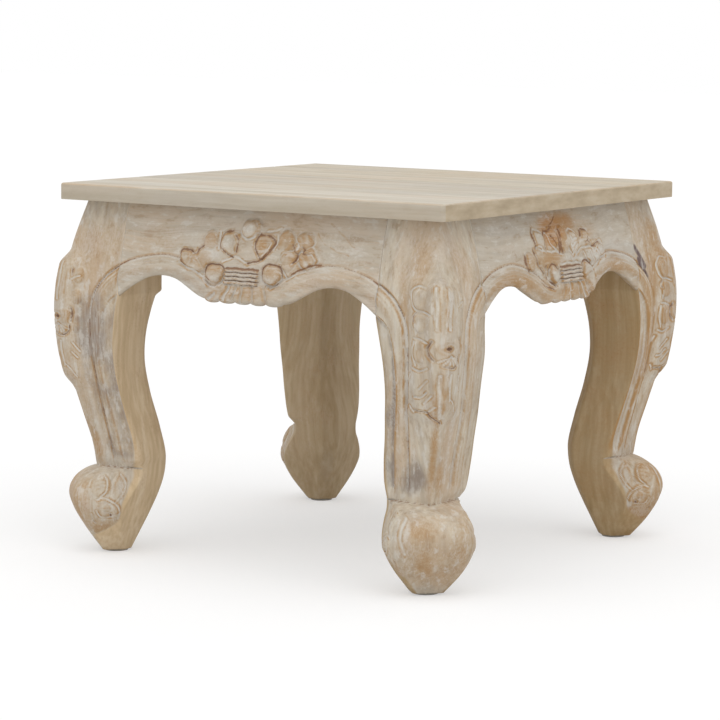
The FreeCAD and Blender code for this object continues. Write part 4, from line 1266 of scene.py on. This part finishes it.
# %% Place the four aprons
aprons = (("front", front_crest, apron_wood_x), ("right", right_crest, apron_wood_y),
          ("back", front_crest, apron_wood_x), ("left", right_crest, apron_wood_y))
for index, (side, crest, material) in enumerate(aprons):
    out, level, values = apron_places(crest)
    if side == "right":
        # Resin in the upper middle, and wash rubbed off the roll
        values["tan"] = values["tan"] + 0.35 * (1 - step(level - lower_edge(apron_along), 14, 24))
        resin = oval_reach(apron_along, level, (4, 376), 44, 14, 0, 2.0)
        knot = oval_reach(apron_along, level, (-14, 366), 20, 13, -20, 2.0)
        values["resin"] = 0.7 * np.exp(-resin ** 4) + 0.8 * np.exp(-knot ** 4)
    along, out, level = (grid[apron_ring, apron_column] for grid in (apron_along, out, level))
    values = {name: grid[apron_ring, apron_column] for name, grid in values.items()}
    apron = finished_piece(f"carved_apron_{side}", apron_mesh, turned(along, out, level, index),
                           f"apron_{side}", material, values)
print("Aprons placed, each with", sum(len(face.vertices) - 2 for face in apron.data.polygons), "triangles")

# %% [markdown]
# ## Top boards
# Four boards of different widths are glued edge to edge. Each comes from a cube that is cut to
# size, and bevels ease its edges: wide ones round the outside, and fine ones at the glue joints,
# where they leave the narrow line that shows between boards.

# %% Boards
top_half = 250.0
top_level = 412.0
top_thickness = 18.0
corner_radius = 5.0
arris_ease = 2.5
joint_ease = 0.5
joints = (-250.0, -110.0, 42.0, 160.0, 250.0)
# Tint of each board: dark, middle and light streak
board_shades = (("#B7AE9D", "#C6BEAF", "#D2CBBE"), ("#ADA393", "#BAB1A1", "#C7BEAF"),
                ("#B1A693", "#BEB4A2", "#CBC1B0"), ("#AEA28E", "#BDB29E", "#CABFAC"))


def eased(bm, chosen, width, segments):
    edges = [edge for edge in bm.edges if chosen(*(vert.co / MM for vert in edge.verts))]
    bmesh.ops.bevel(bm, geom=edges, offset=width * MM, affect="EDGES", segments=segments, profile=0.5,
                    material=-1)


def at_corner(a, b):
    return abs(a.z - b.z) > 1 and abs(abs(a.y) - top_half) < 0.1


def at_outside(a, b):
    # Whether both ends lie on the outline of the whole top, on its upper face
    on_x = all(abs(abs(p.x) - top_half) < 0.1 for p in (a, b))
    on_y = all(abs(abs(p.y) - top_half) < 0.1 for p in (a, b))
    rounded = all(min(abs(p.x), abs(p.y)) > top_half - corner_radius - 0.2 for p in (a, b))
    return (on_x or on_y or rounded) and min(a.z, b.z) > top_level - 0.1


def at_joint(a, b):
    return min(a.z, b.z) > top_level - 0.1 and abs(a.x - b.x) > top_half


for index, (y_low, y_high) in enumerate(zip(joints, joints[1:])):
    bm = bmesh.new()
    size = Vector((2 * top_half, y_high - y_low, top_thickness)) * MM
    middle = Vector((0, (y_low + y_high) / 2, top_level - top_thickness / 2)) * MM
    bmesh.ops.create_cube(bm, size=1.0, matrix=Matrix.Translation(middle) @ Matrix.Diagonal(size.to_4d()))
    eased(bm, at_corner, corner_radius, 6)
    eased(bm, at_outside, arris_ease, 4)
    eased(bm, at_joint, joint_ease, 2)
    bmesh.ops.recalc_face_normals(bm, faces=bm.faces)
    mesh = bpy.data.meshes.new(f"top_plank_{index + 1}")
    bm.to_mesh(mesh)
    bm.free()
    mesh.materials.append(limed_wood(f"limed_board_{index + 1}", "along_x", board_shades[index], wash=0.4,
                                     start=(0.5 * index, 0.9, 0.37 * index), sway=0.008, boards=True))
    plank = placed(mesh.name, mesh)
    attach(plank, "root")
    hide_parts(f"top_board_{index + 1}")
print("Boards placed, the last with", len(mesh.polygons), "faces")

# %% [markdown]
# ## Braces, pads and fixings
# The braces, pads, screws and nails already have their shapes in the CAD model, so they stay
# and only get their finishes.

# %% Finishes for the CAD pieces
def glide_plastic():
    # Pale grey moulded polyethylene, slightly waxy
    material = bpy.data.materials.new("polyethylene_glide")
    tree = new_tree(material)
    mottle = noise(tree, add_node(tree, "TexCoord").outputs["Object"], 300.0, 2.0)
    shade = colour_ramp(tree, mottle, ((0.35, "#A3A09A"), (0.65, "#B9B6AF")))
    bump = add_node(tree, "Bump", {"Height": mottle, "Strength": 0.2, "Distance": 0.2 * MM})
    body = add_node(tree, "BsdfPrincipled", {"Base Color": shade, "Roughness": 0.5,
                                             "Normal": bump.outputs[0]})
    add_node(tree, "OutputMaterial", {"Surface": body.outputs[0]})
    return material


def zinc_steel():
    # Zinc-plated steel, dull grey with a faint mottle
    material = bpy.data.materials.new("zinc_plated_steel")
    tree = new_tree(material)
    mottle = noise(tree, add_node(tree, "TexCoord").outputs["Object"], 900.0, 3.0)
    shade = colour_ramp(tree, mottle, ((0.3, "#8E8F90"), (0.7, "#B4B5B6")))
    rough = scaled(tree, mottle, 0.2, 0.3)
    body = add_node(tree, "BsdfPrincipled", {"Base Color": shade, "Roughness": rough, "Metallic": 1.0})
    add_node(tree, "OutputMaterial", {"Surface": body.outputs[0]})
    return material


bare_wood = limed_wood("bare_sawn_wood", "along_x", sawn_shades, start=(0.1, 0.2, 0.3), wash=0.0)
glide = glide_plastic()
zinc = zinc_steel()
finishes = {"corner_brace": bare_wood, "foot_pad": glide, "apron_screws": zinc, "top_screws": zinc,
            "pad_nails": zinc}
for name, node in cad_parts.items():
    for start, finish in finishes.items():
        if name.startswith(start):
            for slot in node.material_slots:
                slot.material = finish
print("CAD pieces finished")
